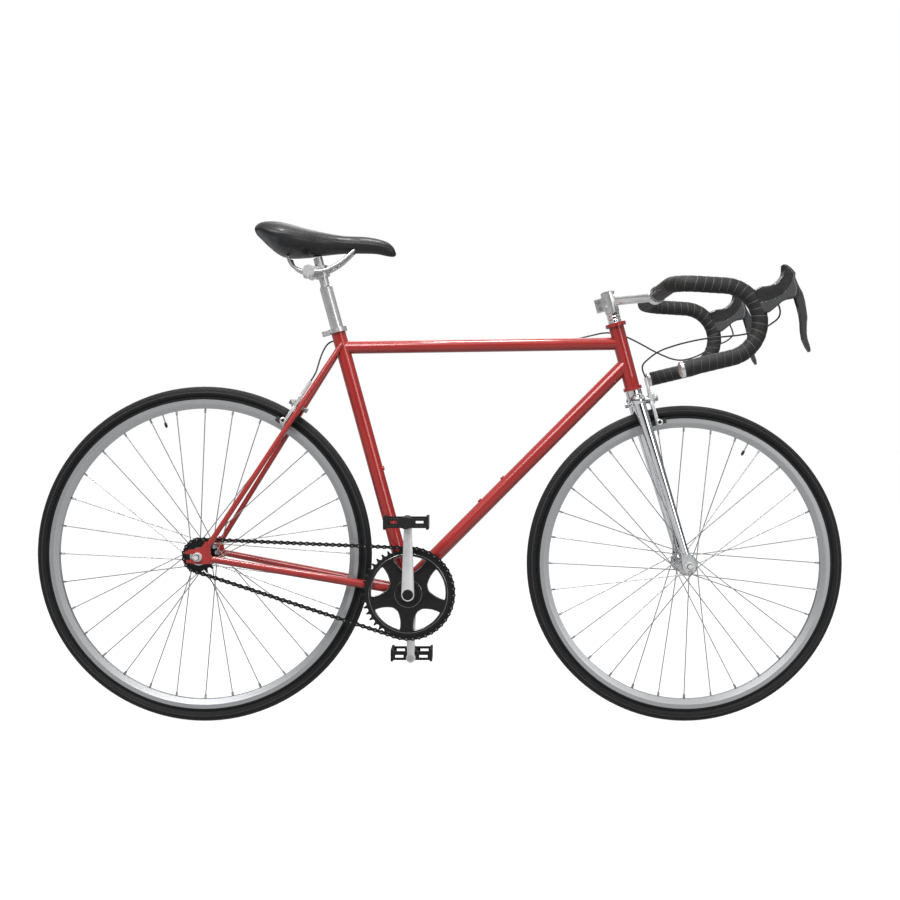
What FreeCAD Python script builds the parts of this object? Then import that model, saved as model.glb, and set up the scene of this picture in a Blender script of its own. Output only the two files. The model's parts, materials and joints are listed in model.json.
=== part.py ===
import FreeCAD, Part
import math
import os
from types import SimpleNamespace

import Sketcher
from FreeCAD import Placement, Rotation, Vector

# A fixed gear road bicycle in millimetres: X forward, Y to the rider's left, Z up, the floor at Z = 0.
SIZES = {
    # Stance
    "wheelbase": 958,
    "rear_wheel_diameter": 668,
    "front_wheel_diameter": 630,
    "bottom_bracket_drop": 74,
    "head_angle": 75.2,
    "seat_angle": 74.6,
    "fork_offset": 10.5,
    "axle_to_crown": 360,
    # Fits
    "running_gap": 0.05,
    "curve_gap": 0.3,
    # Frame tubes
    "tube_wall": 1.2,
    "head_tube_diameter": 30,
    "head_tube_bore": 26,
    "head_tube_length": 124.6,
    "down_tube_diameter": 28.6,
    "down_tube_head_height": 47.6,
    "down_tube_above_bracket": 12.5,
    "top_tube_diameter": 25.4,
    "top_tube_head_height": 89.3,
    "top_tube_seat_height": 504,
    "seat_tube_diameter": 28.6,
    "seat_tube_bore": 25.5,
    "seat_tube_length": 544,
    "bracket_shell_diameter": 40,
    "bracket_shell_bore": 34.8,
    "bracket_shell_width": 68,
    # Stays and track ends
    "chain_stay_front_diameter": 18,
    "chain_stay_rear_diameter": 13,
    "chain_stay_front_spread": 32,
    "chain_stay_end_gap": 30,
    "seat_stay_diameter": 12,
    "seat_stay_height": 509,
    "seat_stay_spread": 23,
    "seat_stay_foot_forward": 22,
    "seat_stay_foot_height": 24,
    "brake_bridge_radius": 350,
    "track_end_thickness": 6.5,
    "track_end_length": 56,
    "track_end_height": 42,
    "rear_hub_spacing": 120,
    "front_hub_spacing": 100,
    # Bottle bosses, the pump peg and the cable clips
    "boss_diameter": 9,
    "boss_bore": 5,
    "boss_depth": 7,
    "boss_proud": 2.4,
    "boss_low_distance": 227,
    "boss_pitch": 64,
    "peg_distance": 250,
    "clip_diameter": 8,
    "clip_length": 9,
    # Headset and steerer
    "steerer_diameter": 22.2,
    "steerer_bore": 18,
    "cup_height": 7,
    "lower_cup_diameter": 37,
    "upper_cup_diameter": 41,
    "cup_skirt": 12,
    "cup_wall": 1.4,
    "headset_gap": 0.4,
    "bearing_diameter": 30,
    "bearing_height": 4.8,
    "spacer_diameter": 26,
    "spacer_height": 7,
    "spacer_bevel": 1,
    "spacer_count": 3,
    # Fork
    "crown_diameter": 28,
    "crown_below_race": 22,
    "crown_width": 66,
    "race_diameter": 32,
    "blade_foot_diameter": 14,
    "blade_top_diameter": 25.6,
    "blade_foot_height": 24,
    "fork_tip_thickness": 5,
    "fork_tip_width": 22,
    "fork_tip_height": 46,
    # Stem
    "stem_column_diameter": 28,
    "stem_column_height": 40,
    "stem_reach": 94.1,
    "stem_bar_height": 11.49,
    "stem_arm_height": 27,
    "stem_arm_diameter": 24,
    "bar_clamp_diameter": 33.4,
    "bar_clamp_width": 42,
    "stem_ear_length": 17,
    "stem_ear_height": 27,
    "stem_ear_width": 14,
    "clamp_slit": 2,
    "top_cap_height": 4,
    "small_bolt_diameter": 5,
    "small_head_diameter": 8.5,
    "small_head_height": 4,
    # Handlebar, tape and plugs
    "bar_diameter": 23.8,
    "bar_centre_diameter": 25.4,
    "bar_centre_width": 62,
    "bar_wall": 2,
    "bar_width": 410,
    "bar_corner_radius": 45,
    "bar_reach": 94.2,
    "hook_radius": 67,
    "ramp_slope": 3.5,
    "drop_slope": 13.5,
    "drop_back": 18,
    "tape_thickness": 3.3,
    "tape_start": 36,
    "plug_length": 8,
    "plug_depth": 16,
    # Brake levers: the body with its hood, and the blade
    "hood_length": 80,
    "hood_height": 90,
    "hood_width": 28,
    "hood_back": 51.1,
    "hood_base": 15.5,
    "lever_pivot_length_share": 0.94,
    "lever_pivot_height_share": 0.62,
    "tongue_width": 9,
    "lever_slot": 9.6,
    "lever_length": 132,
    "lever_depth": 40,
    "lever_width": 16,
    "lever_pin_diameter": 5,
    # Brake calipers
    "brake_bolt_diameter": 6,
    "front_brake_height": 334,
    "front_brake_forward": 30,
    "rear_brake_behind": 13.5,
    "caliper_plate": 6,
    "caliper_half_width": 30,
    "caliper_boss_height": 10,
    "front_shoe_drop": 48,
    "rear_shoe_drop": 44,
    "shoe_length": 32,
    "shoe_height": 10,
    "shoe_thickness": 5.7,
    "shoe_gap": 1.8,
    "shoe_bolt_diameter": 7,
    "adjuster_diameter": 7,
    "adjuster_base": 13,
    "front_adjuster_length": 31,
    "rear_adjuster_length": 42,
    "adjuster_side": 24.5,
    "brake_nut_diameter": 13,
    "brake_nut_height": 7,
    "cable_diameter": 3.2,
    # Wheels
    "tyre_width": 23,
    "tyre_wall": 2.3,
    "tube_slack": 0.2,
    "tube_rubber": 0.9,
    "rim_inset": 22,
    "rim_width": 19,
    "rim_flange": 2,
    "rim_well": 7,
    "rim_track": 12,
    "rim_depth": 22,
    "rim_inner_width": 10,
    "valve_diameter": 6,
    "valve_length": 51,
    "rear_valve_angle": 106.875,
    "front_valve_angle": 61.875,
    "spoke_count": 32,
    "spoke_diameter": 2,
    "spoke_crossing": 67.5,
    "spoke_rim_offset": 3,
    "nipple_width": 3.4,
    "nipple_length": 8,
    "spoke_circle_diameter": 38,
    "flange_diameter": 43,
    "spoke_stand_off": 0.85,
    "flange_thickness": 3,
    "front_flange_spread": 66,
    "rear_flange_spread": 60,
    "hub_shell_diameter": 26,
    "hub_end_diameter": 31,
    "hub_bore": 18,
    "hub_bearing_diameter": 26,
    "hub_bearing_width": 8,
    "hub_end_gap": 4,
    "front_axle_diameter": 9,
    "rear_axle_diameter": 10,
    "axle_overhang": 14,
    "locknut_diameter": 17,
    "axle_nut_diameter": 17,
    "axle_nut_height": 8,
    "axle_washer_diameter": 24,
    "axle_washer_height": 2,
    # Drive
    "chain_pitch": 12.7,
    "chain_links": 96,
    "ring_teeth": 44,
    "cog_teeth": 16,
    "chain_line": 42,
    "sprocket_thickness": 3,
    "roller_diameter": 7.75,
    "tooth_clearance": 0.2,
    "tooth_height": 3.3,
    "tooth_tip": 2.2,
    "link_half_height": 4.3,
    "link_plate": 1,
    "link_inside": 3.3,
    "link_gap": 0.1,
    "ring_bore": 36.2,
    "ring_boss_diameter": 54,
    "ring_boss_height": 3,
    "ring_window_outer": 71,
    "ring_window_inner": 41,
    "ring_arm_width": 25,
    "ring_arms": 5,
    "ring_window_rounding": 4,
    "cog_bore": 35,
    "lockring_diameter": 39,
    "lockring_width": 4,
    # Cranks and pedals
    "crank_length": 145,
    "crank_line": 58,
    "crank_thickness": 13,
    "crank_root_diameter": 25,
    "crank_tip_diameter": 14,
    "pedal_eye_diameter": 19,
    "crank_cap_diameter": 21,
    "crank_cap_height": 4,
    "spindle_diameter": 17,
    "spindle_square": 12.7,
    "cup_flange_diameter": 41,
    "cup_flange_height": 3,
    "pedal_line": 110,
    "pedal_length": 86,
    "pedal_width": 62,
    "pedal_height": 24.5,
    "pedal_frame": 5,
    "pedal_barrel": 23,
    "pedal_axle_diameter": 12,
    "pedal_flange_diameter": 17,
    "pedal_flange_height": 6,
    "pedal_thread_diameter": 13,
    # Seat
    "post_diameter": 25.4,
    "post_bottom": 400,
    "post_shoulder": 628,
    "post_neck_diameter": 18.5,
    "post_top": 690,
    "collar_diameter": 37,
    "collar_height": 9,
    "collar_ear": 15,
    "collar_ear_width": 18,
    "clamp_height": 660,
    "clamp_band_diameter": 29,
    "clamp_band_height": 22,
    "clamp_block_length": 30,
    "clamp_block_height": 22,
    "clamp_setback": 23,
    "rail_diameter": 7,
    "rail_spread": 44,
    "rail_disc_diameter": 24,
    "rail_disc_width": 11,
    "saddle_length": 280,
    "saddle_width": 142,
    "saddle_height": 75,
    "saddle_rear": 367.5,
    "saddle_base": 922,
}

document = FreeCAD.newDocument("FixedGearBike")
sheet = document.addObject("Spreadsheet::Sheet", "Sizes")
for row, (name, amount) in enumerate(SIZES.items(), start=1):
    sheet.set(f"A{row}", name)
    sheet.set(f"B{row}", str(amount))
    sheet.setAlias(f"B{row}", name)
document.recompute()


class Size:
    """A number from the sheet with the formula that gives it."""

    def __init__(self, value, text):
        self.value = value
        self.text = text

    def __float__(self):
        return self.value

    def joined(self, other, sign, value, swapped=False):
        other_text = other.text if isinstance(other, Size) else repr(other)
        first, second = (other_text, self.text) if swapped else (self.text, other_text)
        return Size(value, f"({first} {sign} {second})")

    def __add__(self, other):
        return self.joined(other, "+", self.value + float(other))

    def __radd__(self, other):
        return self.joined(other, "+", float(other) + self.value, True)

    def __sub__(self, other):
        return self.joined(other, "-", self.value - float(other))

    def __rsub__(self, other):
        return self.joined(other, "-", float(other) - self.value, True)

    def __mul__(self, other):
        return self.joined(other, "*", self.value * float(other))

    def __rmul__(self, other):
        return self.joined(other, "*", float(other) * self.value, True)

    def __truediv__(self, other):
        return self.joined(other, "/", self.value / float(other))

    def __rtruediv__(self, other):
        return self.joined(other, "/", float(other) / self.value, True)

    def __neg__(self):
        return Size(-self.value, f"(-{self.text})")


def sine(angle):
    """The sine of an angle in degrees that comes from the sheet."""
    return Size(math.sin(math.radians(angle.value)), f"sin({angle.text} * 1 deg)")


size = SimpleNamespace(**{name: Size(float(sheet.get(name)), f"Sizes.{name}") for name in SIZES})
mm = SimpleNamespace(**{name: float(sheet.get(name)) for name in SIZES})
nodes = {}

UP = Vector(0, 0, 1)
LEFT = Vector(0, 1, 0)
# Carries a drawing's X and Y to the bicycle's X and Z, so that it is seen from the drive side.
SIDE_VIEW = Rotation(Vector(1, 0, 0), 90)
# Carries a turned piece's own axis to the bicycle's Y.
ACROSS = Rotation(Vector(1, 0, 0), -90)


def bind(item, **values):
    """Set properties, as formulas on the sheet where the values come from it."""
    for name, amount in values.items():
        if isinstance(amount, Size):
            item.setExpression(name, amount.text)
        else:
            setattr(item, name, amount)
    return item


def node(label, item):
    """Give a finished piece its node name."""
    item.Label = label
    nodes[label] = item
    return item


def polar(radius, degrees):
    """A point in the side view at a radius and an angle from forward."""
    angle = math.radians(degrees)
    return Vector(radius * math.cos(angle), 0, radius * math.sin(angle))


def across(point, y):
    """The same point moved to a side."""
    return Vector(point.x, y, point.z)


def rod(start, end, diameter):
    """A round bar from one point to another."""
    item = document.addObject("Part::Cylinder", "Rod")
    bind(item, Radius=diameter / 2, Height=(end - start).Length)
    item.Placement = Placement(start, Rotation(UP, end - start))
    return item


def cone(start, end, start_diameter, end_diameter):
    """A tapered bar from one point to another."""
    item = document.addObject("Part::Cone", "Taper")
    bind(item, Radius1=start_diameter / 2, Radius2=end_diameter / 2, Height=(end - start).Length)
    item.Placement = Placement(start, Rotation(UP, end - start))
    return item


def ball(centre, diameter):
    """A sphere."""
    item = bind(document.addObject("Part::Sphere", "Ball"), Radius=diameter / 2)
    item.Placement = Placement(centre, Rotation())
    return item


def hoop(centre, ring_radius, tube_radius):
    """A ring that stands in the side view."""
    item = document.addObject("Part::Torus", "Hoop")
    bind(item, Radius1=ring_radius, Radius2=tube_radius)
    item.Placement = Placement(centre, ACROSS)
    return item


def block(centre, length, width, height, rotation=Rotation()):
    """A box about its centre."""
    item = bind(document.addObject("Part::Box", "Block"), Length=length, Width=width, Height=height)
    half = Vector(float(length), float(width), float(height)) * 0.5
    item.Placement = Placement(centre - rotation.multVec(half), rotation)
    return item


def prism(start, end, width, sides=6):
    """A bar of flats from one point to another, measured across its corners."""
    item = document.addObject("Part::Prism", "Prism")
    bind(item, Polygon=sides, Circumradius=width / 2, Height=(end - start).Length)
    item.Placement = Placement(start, Rotation(UP, end - start))
    return item


def fused(*pieces):
    """Several pieces made into one solid."""
    item = document.addObject("Part::MultiFuse", "Joined")
    item.Shapes = list(pieces)
    return item


def cut(base, *tools):
    """A piece with others taken out of it."""
    item = document.addObject("Part::Cut", "Trimmed")
    item.Base = base
    item.Tool = tools[0] if len(tools) == 1 else fused(*tools)
    return item


def bunch(*pieces):
    """Separate solids that share a node."""
    item = document.addObject("Part::Compound", "Bunch")
    item.Links = list(pieces)
    return item


def custom(shape):
    """A shape worked out from the sheet's values."""
    item = document.addObject("Part::Feature", "Shape")
    item.Shape = shape
    return item


def plane_of(body, role):
    """One of a body's own planes."""
    return [item for item in body.Origin.OriginFeatures if item.Role == role][0]


def hold_point(sketch, geometry, end, x, y):
    """Fix a drawn point by formulas, or on an axis where its place is 0."""
    for kind, axis, amount in (("DistanceX", -2, x), ("DistanceY", -1, y)):
        if float(amount) == 0:
            sketch.addConstraint(Sketcher.Constraint("PointOnObject", geometry, end, axis))
            continue
        number = sketch.addConstraint(Sketcher.Constraint(kind, -1, 1, geometry, end, float(amount)))
        if isinstance(amount, Size):
            sketch.setExpression(f"Constraints[{number}]", amount.text)


def drawn(body, role, corners):
    """A closed outline of straight lines through corners."""
    sketch = body.newObject("Sketcher::SketchObject", "Outline")
    sketch.AttachmentSupport = (plane_of(body, role), [""])
    sketch.MapMode = "FlatFace"
    points = [Vector(float(x), float(y), 0) for x, y in corners]
    count = len(points)
    for index, point in enumerate(points):
        sketch.addGeometry(Part.LineSegment(point, points[(index + 1) % count]))
    for index in range(count):
        sketch.addConstraint(Sketcher.Constraint("Coincident", index, 2, (index + 1) % count, 1))
    for index, (x, y) in enumerate(corners):
        hold_point(sketch, index, 1, x, y)
    return sketch


def turned(corners, place=Placement()):
    """A solid of revolution about its own Z from (radius, height) corners."""
    body = document.addObject("PartDesign::Body", "Turned")
    sketch = drawn(body, "XZ_Plane", corners)
    revolution = body.newObject("PartDesign::Revolution", "Revolution")
    revolution.Profile = sketch
    revolution.ReferenceAxis = (sketch, ["V_Axis"])
    revolution.Angle = 360
    body.Placement = place
    return body


def plate(corners, thickness, place=Placement()):
    """A flat piece with a straight-sided outline, even about its middle plane."""
    body = document.addObject("PartDesign::Body", "Plate")
    pad = body.newObject("PartDesign::Pad", "Pad")
    pad.Profile = drawn(body, "XY_Plane", corners)
    pad.Midplane = True
    bind(pad, Length=thickness)
    body.Tip = pad
    body.Placement = place
    return body


def sharesof(length, height, shares):
    """Corners from hand-chosen shares of a length and a height."""
    return [(length * x if x else 0, height * y if y else 0) for x, y in shares]


def rounded(points, share=0.45, radii=()):
    """A wire of straight runs and tangent arcs through points."""
    edges = []
    last = points[0]
    for index in range(1, len(points) - 1):
        back = points[index - 1] - points[index]
        ahead = points[index + 1] - points[index]
        turn = math.pi - back.getAngle(ahead)
        reach = share * min(back.Length, ahead.Length)
        if radii:
            reach = radii[index - 1] * math.tan(turn / 2)
        back.normalize()
        ahead.normalize()
        start = points[index] + back * reach
        end = points[index] + ahead * reach
        radius = reach / math.tan(turn / 2)
        middle_way = back + ahead
        middle_way.normalize()
        centre_gap = math.hypot(radius, reach)
        middle = points[index] + middle_way * (centre_gap - radius)
        edges.append(Part.makeLine(last, start))
        edges.append(Part.Arc(start, middle, end).toShape())
        last = end
    edges.append(Part.makeLine(last, points[-1]))
    return Part.Wire(edges)


def swept(wire, diameter):
    """A round section carried along a wire."""
    spine = custom(wire)
    first = wire.Edges[0]
    section = bind(document.addObject("Part::Circle", "Section"), Radius=diameter / 2)
    start = first.firstVertex().Point
    section.Placement = Placement(start, Rotation(UP, first.tangentAt(first.FirstParameter)))
    item = document.addObject("Part::Sweep", "Swept")
    item.Sections = [section]
    item.Spine = (spine, [f"Edge{number}" for number in range(1, len(wire.Edges) + 1)])
    item.Solid = True
    item.Frenet = False
    return item


# Main places in the side view
rear_radius = mm.rear_wheel_diameter / 2
front_radius = mm.front_wheel_diameter / 2
rear_axle = Vector((rear_radius - front_radius - mm.wheelbase) / 2, 0, rear_radius)
front_axle = Vector(rear_axle.x + mm.wheelbase, 0, front_radius)
ring_pitch_radius = mm.chain_pitch / (2 * math.sin(math.pi / mm.ring_teeth))
cog_pitch_radius = mm.chain_pitch / (2 * math.sin(math.pi / mm.cog_teeth))


def chain_spans(distance):
    """Links on the ring, on one straight run and on the cog for a distance between centres."""
    lean = math.asin((ring_pitch_radius - cog_pitch_radius) / distance)
    on_ring = mm.ring_teeth * (0.5 + lean / math.pi)
    on_cog = mm.cog_teeth * (0.5 - lean / math.pi)
    return lean, on_ring, distance * math.cos(lean) / mm.chain_pitch, on_cog


# The chain stays are as long as a whole number of links asks.
low, high = ring_pitch_radius + cog_pitch_radius, mm.wheelbase
while high - low > mm.running_gap * 1e-6:
    middle = (low + high) / 2
    lean, on_ring, on_run, on_cog = chain_spans(middle)
    if on_ring + 2 * on_run + on_cog < mm.chain_links:
        low = middle
    else:
        high = middle
stay_length = (low + high) / 2
chain_lean, links_on_ring, links_on_run, links_on_cog = chain_spans(stay_length)
bracket = rear_axle + Vector(
    math.sqrt(stay_length**2 - mm.bottom_bracket_drop**2), 0, -mm.bottom_bracket_drop
)

seat_way = Vector(-math.cos(math.radians(mm.seat_angle)), 0, math.sin(math.radians(mm.seat_angle)))
steer_way = Vector(-math.cos(math.radians(mm.head_angle)), 0, math.sin(math.radians(mm.head_angle)))
steer_ahead = Vector(steer_way.z, 0, -steer_way.x)
steer_base = front_axle - steer_ahead * mm.fork_offset
STEER_TURN = Rotation(LEFT, mm.head_angle - 90)


def steer_point(ahead, y, along):
    """A point ahead of the steering axis, to a side and up the axis."""
    return steer_base + steer_ahead * ahead + LEFT * y + steer_way * along


def seat_point(along):
    """A point up the seat tube's axis."""
    return bracket + seat_way * along


crown_top = mm.axle_to_crown
head_low = crown_top + mm.headset_gap + mm.cup_height
head_high = head_low + mm.head_tube_length
spacer_low = head_high + mm.cup_height + mm.headset_gap
stem_low = spacer_low + mm.spacer_count * mm.spacer_height
stem_high = stem_low + mm.stem_column_height

# Frame tubes: each is mitred on the outside of the tube that it meets
down_start = steer_point(0, 0, head_low + mm.down_tube_head_height)
to_down_start = down_start - bracket
down_turn = math.asin(mm.down_tube_above_bracket / to_down_start.Length)
down_way = Rotation(LEFT, math.degrees(down_turn)).multVec(to_down_start.normalize())
down_normal = Vector(-down_way.z, 0, down_way.x)
down_foot = bracket + down_normal * mm.down_tube_above_bracket
down_end = down_foot + down_way * (mm.down_tube_above_bracket / 2)
top_front = steer_point(0, 0, head_low + mm.top_tube_head_height)
top_rear = seat_point(mm.top_tube_seat_height)
half_shell = mm.bracket_shell_width / 2
shell_right = across(bracket, -half_shell)
shell_left = across(bracket, half_shell)


def head_outer():
    """The head tube's outside, to mitre against."""
    return rod(steer_point(0, 0, head_low), steer_point(0, 0, head_high), size.head_tube_diameter)


def seat_outer():
    """The seat tube's outside, to mitre against."""
    return rod(bracket, seat_point(mm.seat_tube_length), size.seat_tube_diameter)


def shell_outer():
    """The bottom bracket shell's outside, to mitre against."""
    return rod(shell_right, shell_left, size.bracket_shell_diameter)


def boss_places():
    """Foot and way of each threaded boss, from the tube's axis outwards."""
    low_boss = down_foot + down_way * mm.boss_low_distance
    high_boss = low_boss + down_way * mm.boss_pitch
    peg_way = Vector(seat_way.z, 0, -seat_way.x)
    radius = mm.down_tube_diameter / 2
    yield low_boss, down_normal, radius
    yield high_boss, down_normal, radius
    yield seat_point(mm.peg_distance), peg_way, mm.seat_tube_diameter / 2


def boss_rod(foot, way, radius, diameter, extra=0.0):
    """A bar through the tube wall at a boss."""
    top = foot + way * (radius + mm.boss_proud + extra)
    return rod(top - way * (mm.boss_depth + 2 * extra), top, diameter)


def boss_outers(first, last):
    """Bars that open the tube wall for the bosses."""
    return [boss_rod(*place, size.boss_diameter) for place in list(boss_places())[first:last]]


node(
    "head_tube",
    cut(head_outer(), rod(steer_point(0, 0, head_low), steer_point(0, 0, head_high), size.head_tube_bore))
)
node("top_tube", cut(
    rod(top_front, top_rear, size.top_tube_diameter),
    rod(top_front, top_rear, size.top_tube_diameter - 2 * size.tube_wall),
    head_outer(), seat_outer(),
))
node("down_tube", cut(
    rod(down_start, down_end, size.down_tube_diameter),
    rod(down_start, down_end, size.down_tube_diameter - 2 * size.tube_wall),
    head_outer(), seat_outer(), shell_outer(), *boss_outers(0, 2),
))
node("seat_tube", cut(
    seat_outer(), rod(bracket, seat_point(mm.seat_tube_length), size.seat_tube_bore),
    shell_outer(), *boss_outers(2, 3),
))
node("bottom_bracket_shell", cut(shell_outer(), rod(shell_right, shell_left, size.bracket_shell_bore)))

# Chain stays and seat stays end on the track ends
track_middle = (mm.rear_hub_spacing + mm.track_end_thickness) / 2
stay_way = (bracket - rear_axle).normalize()
seat_stay_top = seat_point(mm.seat_stay_height)
seat_stay_foot = rear_axle + Vector(mm.seat_stay_foot_forward, 0, mm.seat_stay_foot_height)
TRACK_SHARES = (
    (0.46, -0.32), (0.50, -0.12), (0.44, 0.14), (0.44, 0.42), (0.40, 0.66), (0.26, 0.70), (0.16, 0.50),
    (-0.10, 0.36), (-0.30, 0.34), (-0.44, 0.25), (-0.44, 0.135), (0.10, 0.135), (0.13, 0.0), (0.10, -0.135),
    (-0.40, -0.135), (-0.40, -0.27), (0.05, -0.34),
)


def track_plate(y):
    """A slotted end plate for the rear axle."""
    corners = sharesof(size.track_end_length, size.track_end_height, TRACK_SHARES)
    return plate(corners, size.track_end_thickness, Placement(across(rear_axle, y), SIDE_VIEW))


def chain_stay(side):
    """A tapered stay from the bracket shell to a track end."""
    front = across(bracket, side * mm.chain_stay_front_spread / 2)
    rear = across(rear_axle + stay_way * mm.chain_stay_end_gap, side * track_middle)
    taper = cone(front, rear, size.chain_stay_front_diameter, size.chain_stay_rear_diameter)
    return cut(
        fused(taper, ball(rear, size.chain_stay_rear_diameter)),
        shell_outer(), track_plate(side * track_middle)
    )


def seat_stay(side):
    """A round stay from the seat tube to a track end."""
    foot = across(seat_stay_foot, side * track_middle)
    top = across(seat_stay_top, side * mm.seat_stay_spread / 2)
    caps = [ball(foot, size.seat_stay_diameter), ball(top, size.seat_stay_diameter)]
    return cut(
        fused(rod(foot, top, size.seat_stay_diameter), *caps),
        seat_outer(), track_plate(side * track_middle)
    )


stay_line = seat_stay_top - seat_stay_foot
bridge_share = 0.0
while (seat_stay_foot + stay_line * bridge_share - rear_axle).Length < mm.brake_bridge_radius:
    bridge_share += 1 / mm.brake_bridge_radius / 4
bridge = seat_stay_foot + stay_line * bridge_share
bridge_half = track_middle + (mm.seat_stay_spread / 2 - track_middle) * bridge_share
bridge_up = Vector(stay_line).normalize()
bridge_behind = Vector(-bridge_up.z, 0, bridge_up.x)

node("track_ends", bunch(track_plate(track_middle), track_plate(-track_middle)))
node("chain_stays", bunch(chain_stay(1), chain_stay(-1)))
bridge_bar = rod(across(bridge, -bridge_half), across(bridge, bridge_half), size.seat_stay_diameter)
bolt_gap = 2 * size.running_gap
bridge_hole = rod(
    bridge - bridge_behind * mm.seat_stay_diameter, bridge + bridge_behind * mm.seat_stay_diameter,
    size.brake_bolt_diameter + bolt_gap,
)
node("seat_stays", cut(fused(seat_stay(1), seat_stay(-1), bridge_bar), bridge_hole))

# Headset
CUP = (
    (size.bearing_diameter / 2 + size.running_gap, 0), (size.lower_cup_diameter / 2, 0),
    (size.lower_cup_diameter / 2, size.cup_height), (size.head_tube_bore / 2, size.cup_height),
    (size.head_tube_bore / 2, size.cup_height + size.cup_skirt),
    (size.head_tube_bore / 2 - size.cup_wall, size.cup_height + size.cup_skirt),
    (size.head_tube_bore / 2 - size.cup_wall, size.bearing_height + size.curve_gap),
    (size.bearing_diameter / 2 + size.running_gap, size.bearing_height + size.curve_gap),
)
UPPER_CUP = tuple(
    (size.upper_cup_diameter / 2 if index in (1, 2) else x, y) for index, (x, y) in enumerate(CUP)
)
HEAD_BEARING = (
    (size.steerer_diameter / 2 + size.running_gap, 0), (size.bearing_diameter / 2, 0),
    (size.bearing_diameter / 2, size.bearing_height),
    (size.steerer_diameter / 2 + size.running_gap, size.bearing_height),
)
upright = STEER_TURN
upside_down = STEER_TURN.multiply(Rotation(Vector(1, 0, 0), 180))
low_cup_place = Placement(steer_point(0, 0, head_low - mm.cup_height), upright)
high_cup_place = Placement(steer_point(0, 0, head_high + mm.cup_height), upside_down)
node("headset_cups", bunch(turned(CUP, low_cup_place), turned(UPPER_CUP, high_cup_place)))
node("headset_bearings", bunch(turned(HEAD_BEARING, low_cup_place), turned(HEAD_BEARING, high_cup_place)))

# Fork
node("fork_steerer", cut(
    rod(steer_point(0, 0, crown_top), steer_point(0, 0, stem_high), size.steerer_diameter),
    rod(steer_point(0, 0, crown_top), steer_point(0, 0, stem_high), size.steerer_bore),
))
crown_along = crown_top - mm.crown_below_race
half_crown = mm.crown_width / 2


crown_end_share = 1.05


def crown_bar():
    """The round crown bar across the steering axis."""
    right = steer_point(0, -half_crown, crown_along)
    left = steer_point(0, half_crown, crown_along)
    end_diameter = size.crown_diameter * crown_end_share
    return fused(rod(right, left, size.crown_diameter), ball(right, end_diameter), ball(left, end_diameter))


front_bolt_hole = rod(
    steer_point(-mm.crown_diameter, 0, mm.front_brake_height),
    steer_point(mm.crown_diameter, 0, mm.front_brake_height),
    size.brake_bolt_diameter + bolt_gap,
)
race_boss = rod(steer_point(0, 0, crown_along), steer_point(0, 0, crown_top), size.race_diameter)
node("fork_crown", cut(fused(crown_bar(), race_boss), front_bolt_hole))

tip_middle = (mm.front_hub_spacing + mm.fork_tip_thickness) / 2
TIP_SHARES = (
    (-0.30, 0.72), (-0.50, 0.25), (-0.56, -0.02), (-0.45, -0.22),
    (-0.215, -0.28), (-0.215, 0.04), (-0.14, 0.11),
    (0.14, 0.11), (0.215, 0.04), (0.215, -0.28), (0.45, -0.22), (0.56, -0.02), (0.50, 0.25), (0.30, 0.72),
)

blade_end_share = 1.05


def fork_blade(side):
    """A tapered blade with its slotted tip."""
    top = steer_point(0, side * half_crown, crown_along)
    foot = steer_point(mm.fork_offset, side * tip_middle, mm.blade_foot_height)
    blade = cone(foot, top, size.blade_foot_diameter, size.blade_top_diameter)
    corners = sharesof(size.fork_tip_width, size.fork_tip_height, TIP_SHARES)
    tip_place = Placement(across(front_axle, side * tip_middle), STEER_TURN.multiply(SIDE_VIEW))
    tip = plate(corners, size.fork_tip_thickness, tip_place)
    end = ball(foot, size.blade_foot_diameter * blade_end_share)
    return cut(fused(blade, end, tip), crown_bar())


node("fork_blades", bunch(fork_blade(1), fork_blade(-1)))

SPACER = (
    (size.steerer_diameter / 2 + size.running_gap, 0), (size.spacer_diameter / 2 - size.spacer_bevel, 0),
    (size.spacer_diameter / 2, size.spacer_height * 0.2),
    (size.spacer_diameter / 2, size.spacer_height * 0.8),
    (size.spacer_diameter / 2 - size.spacer_bevel, size.spacer_height),
    (size.steerer_diameter / 2 + size.running_gap, size.spacer_height),
)
node("headset_spacers", bunch(*[
    turned(SPACER, Placement(steer_point(0, 0, spacer_low + index * mm.spacer_height), upright))
    for index in range(int(mm.spacer_count))
]))

# Stem: a column on the steerer, a sloping arm and a clamp round the bar
bar_centre = steer_point(mm.stem_reach, 0, stem_low + mm.stem_bar_height)
arm_start = steer_point(0, 0, stem_low + mm.stem_arm_height)
ear_centre = steer_point(
    -(mm.stem_column_diameter + mm.stem_ear_length) / 2 + mm.clamp_slit, 0, (stem_low + stem_high) / 2
)
stem_bolt_heights = [(stem_low + stem_high) / 2 + side * mm.stem_ear_height / 4 for side in (-1, 1)]
ear_bolt_ahead = -(mm.stem_column_diameter / 2 + mm.stem_ear_length * 0.55)
half_ear = mm.stem_ear_width / 2
half_clamp = mm.bar_clamp_width / 2


def ear_bolt_holes():
    """Holes for the two bolts through the stem's ears."""
    for along in stem_bolt_heights:
        yield rod(
            steer_point(ear_bolt_ahead, -half_ear, along), steer_point(ear_bolt_ahead, half_ear, along),
            size.small_bolt_diameter + bolt_gap,
        )


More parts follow.
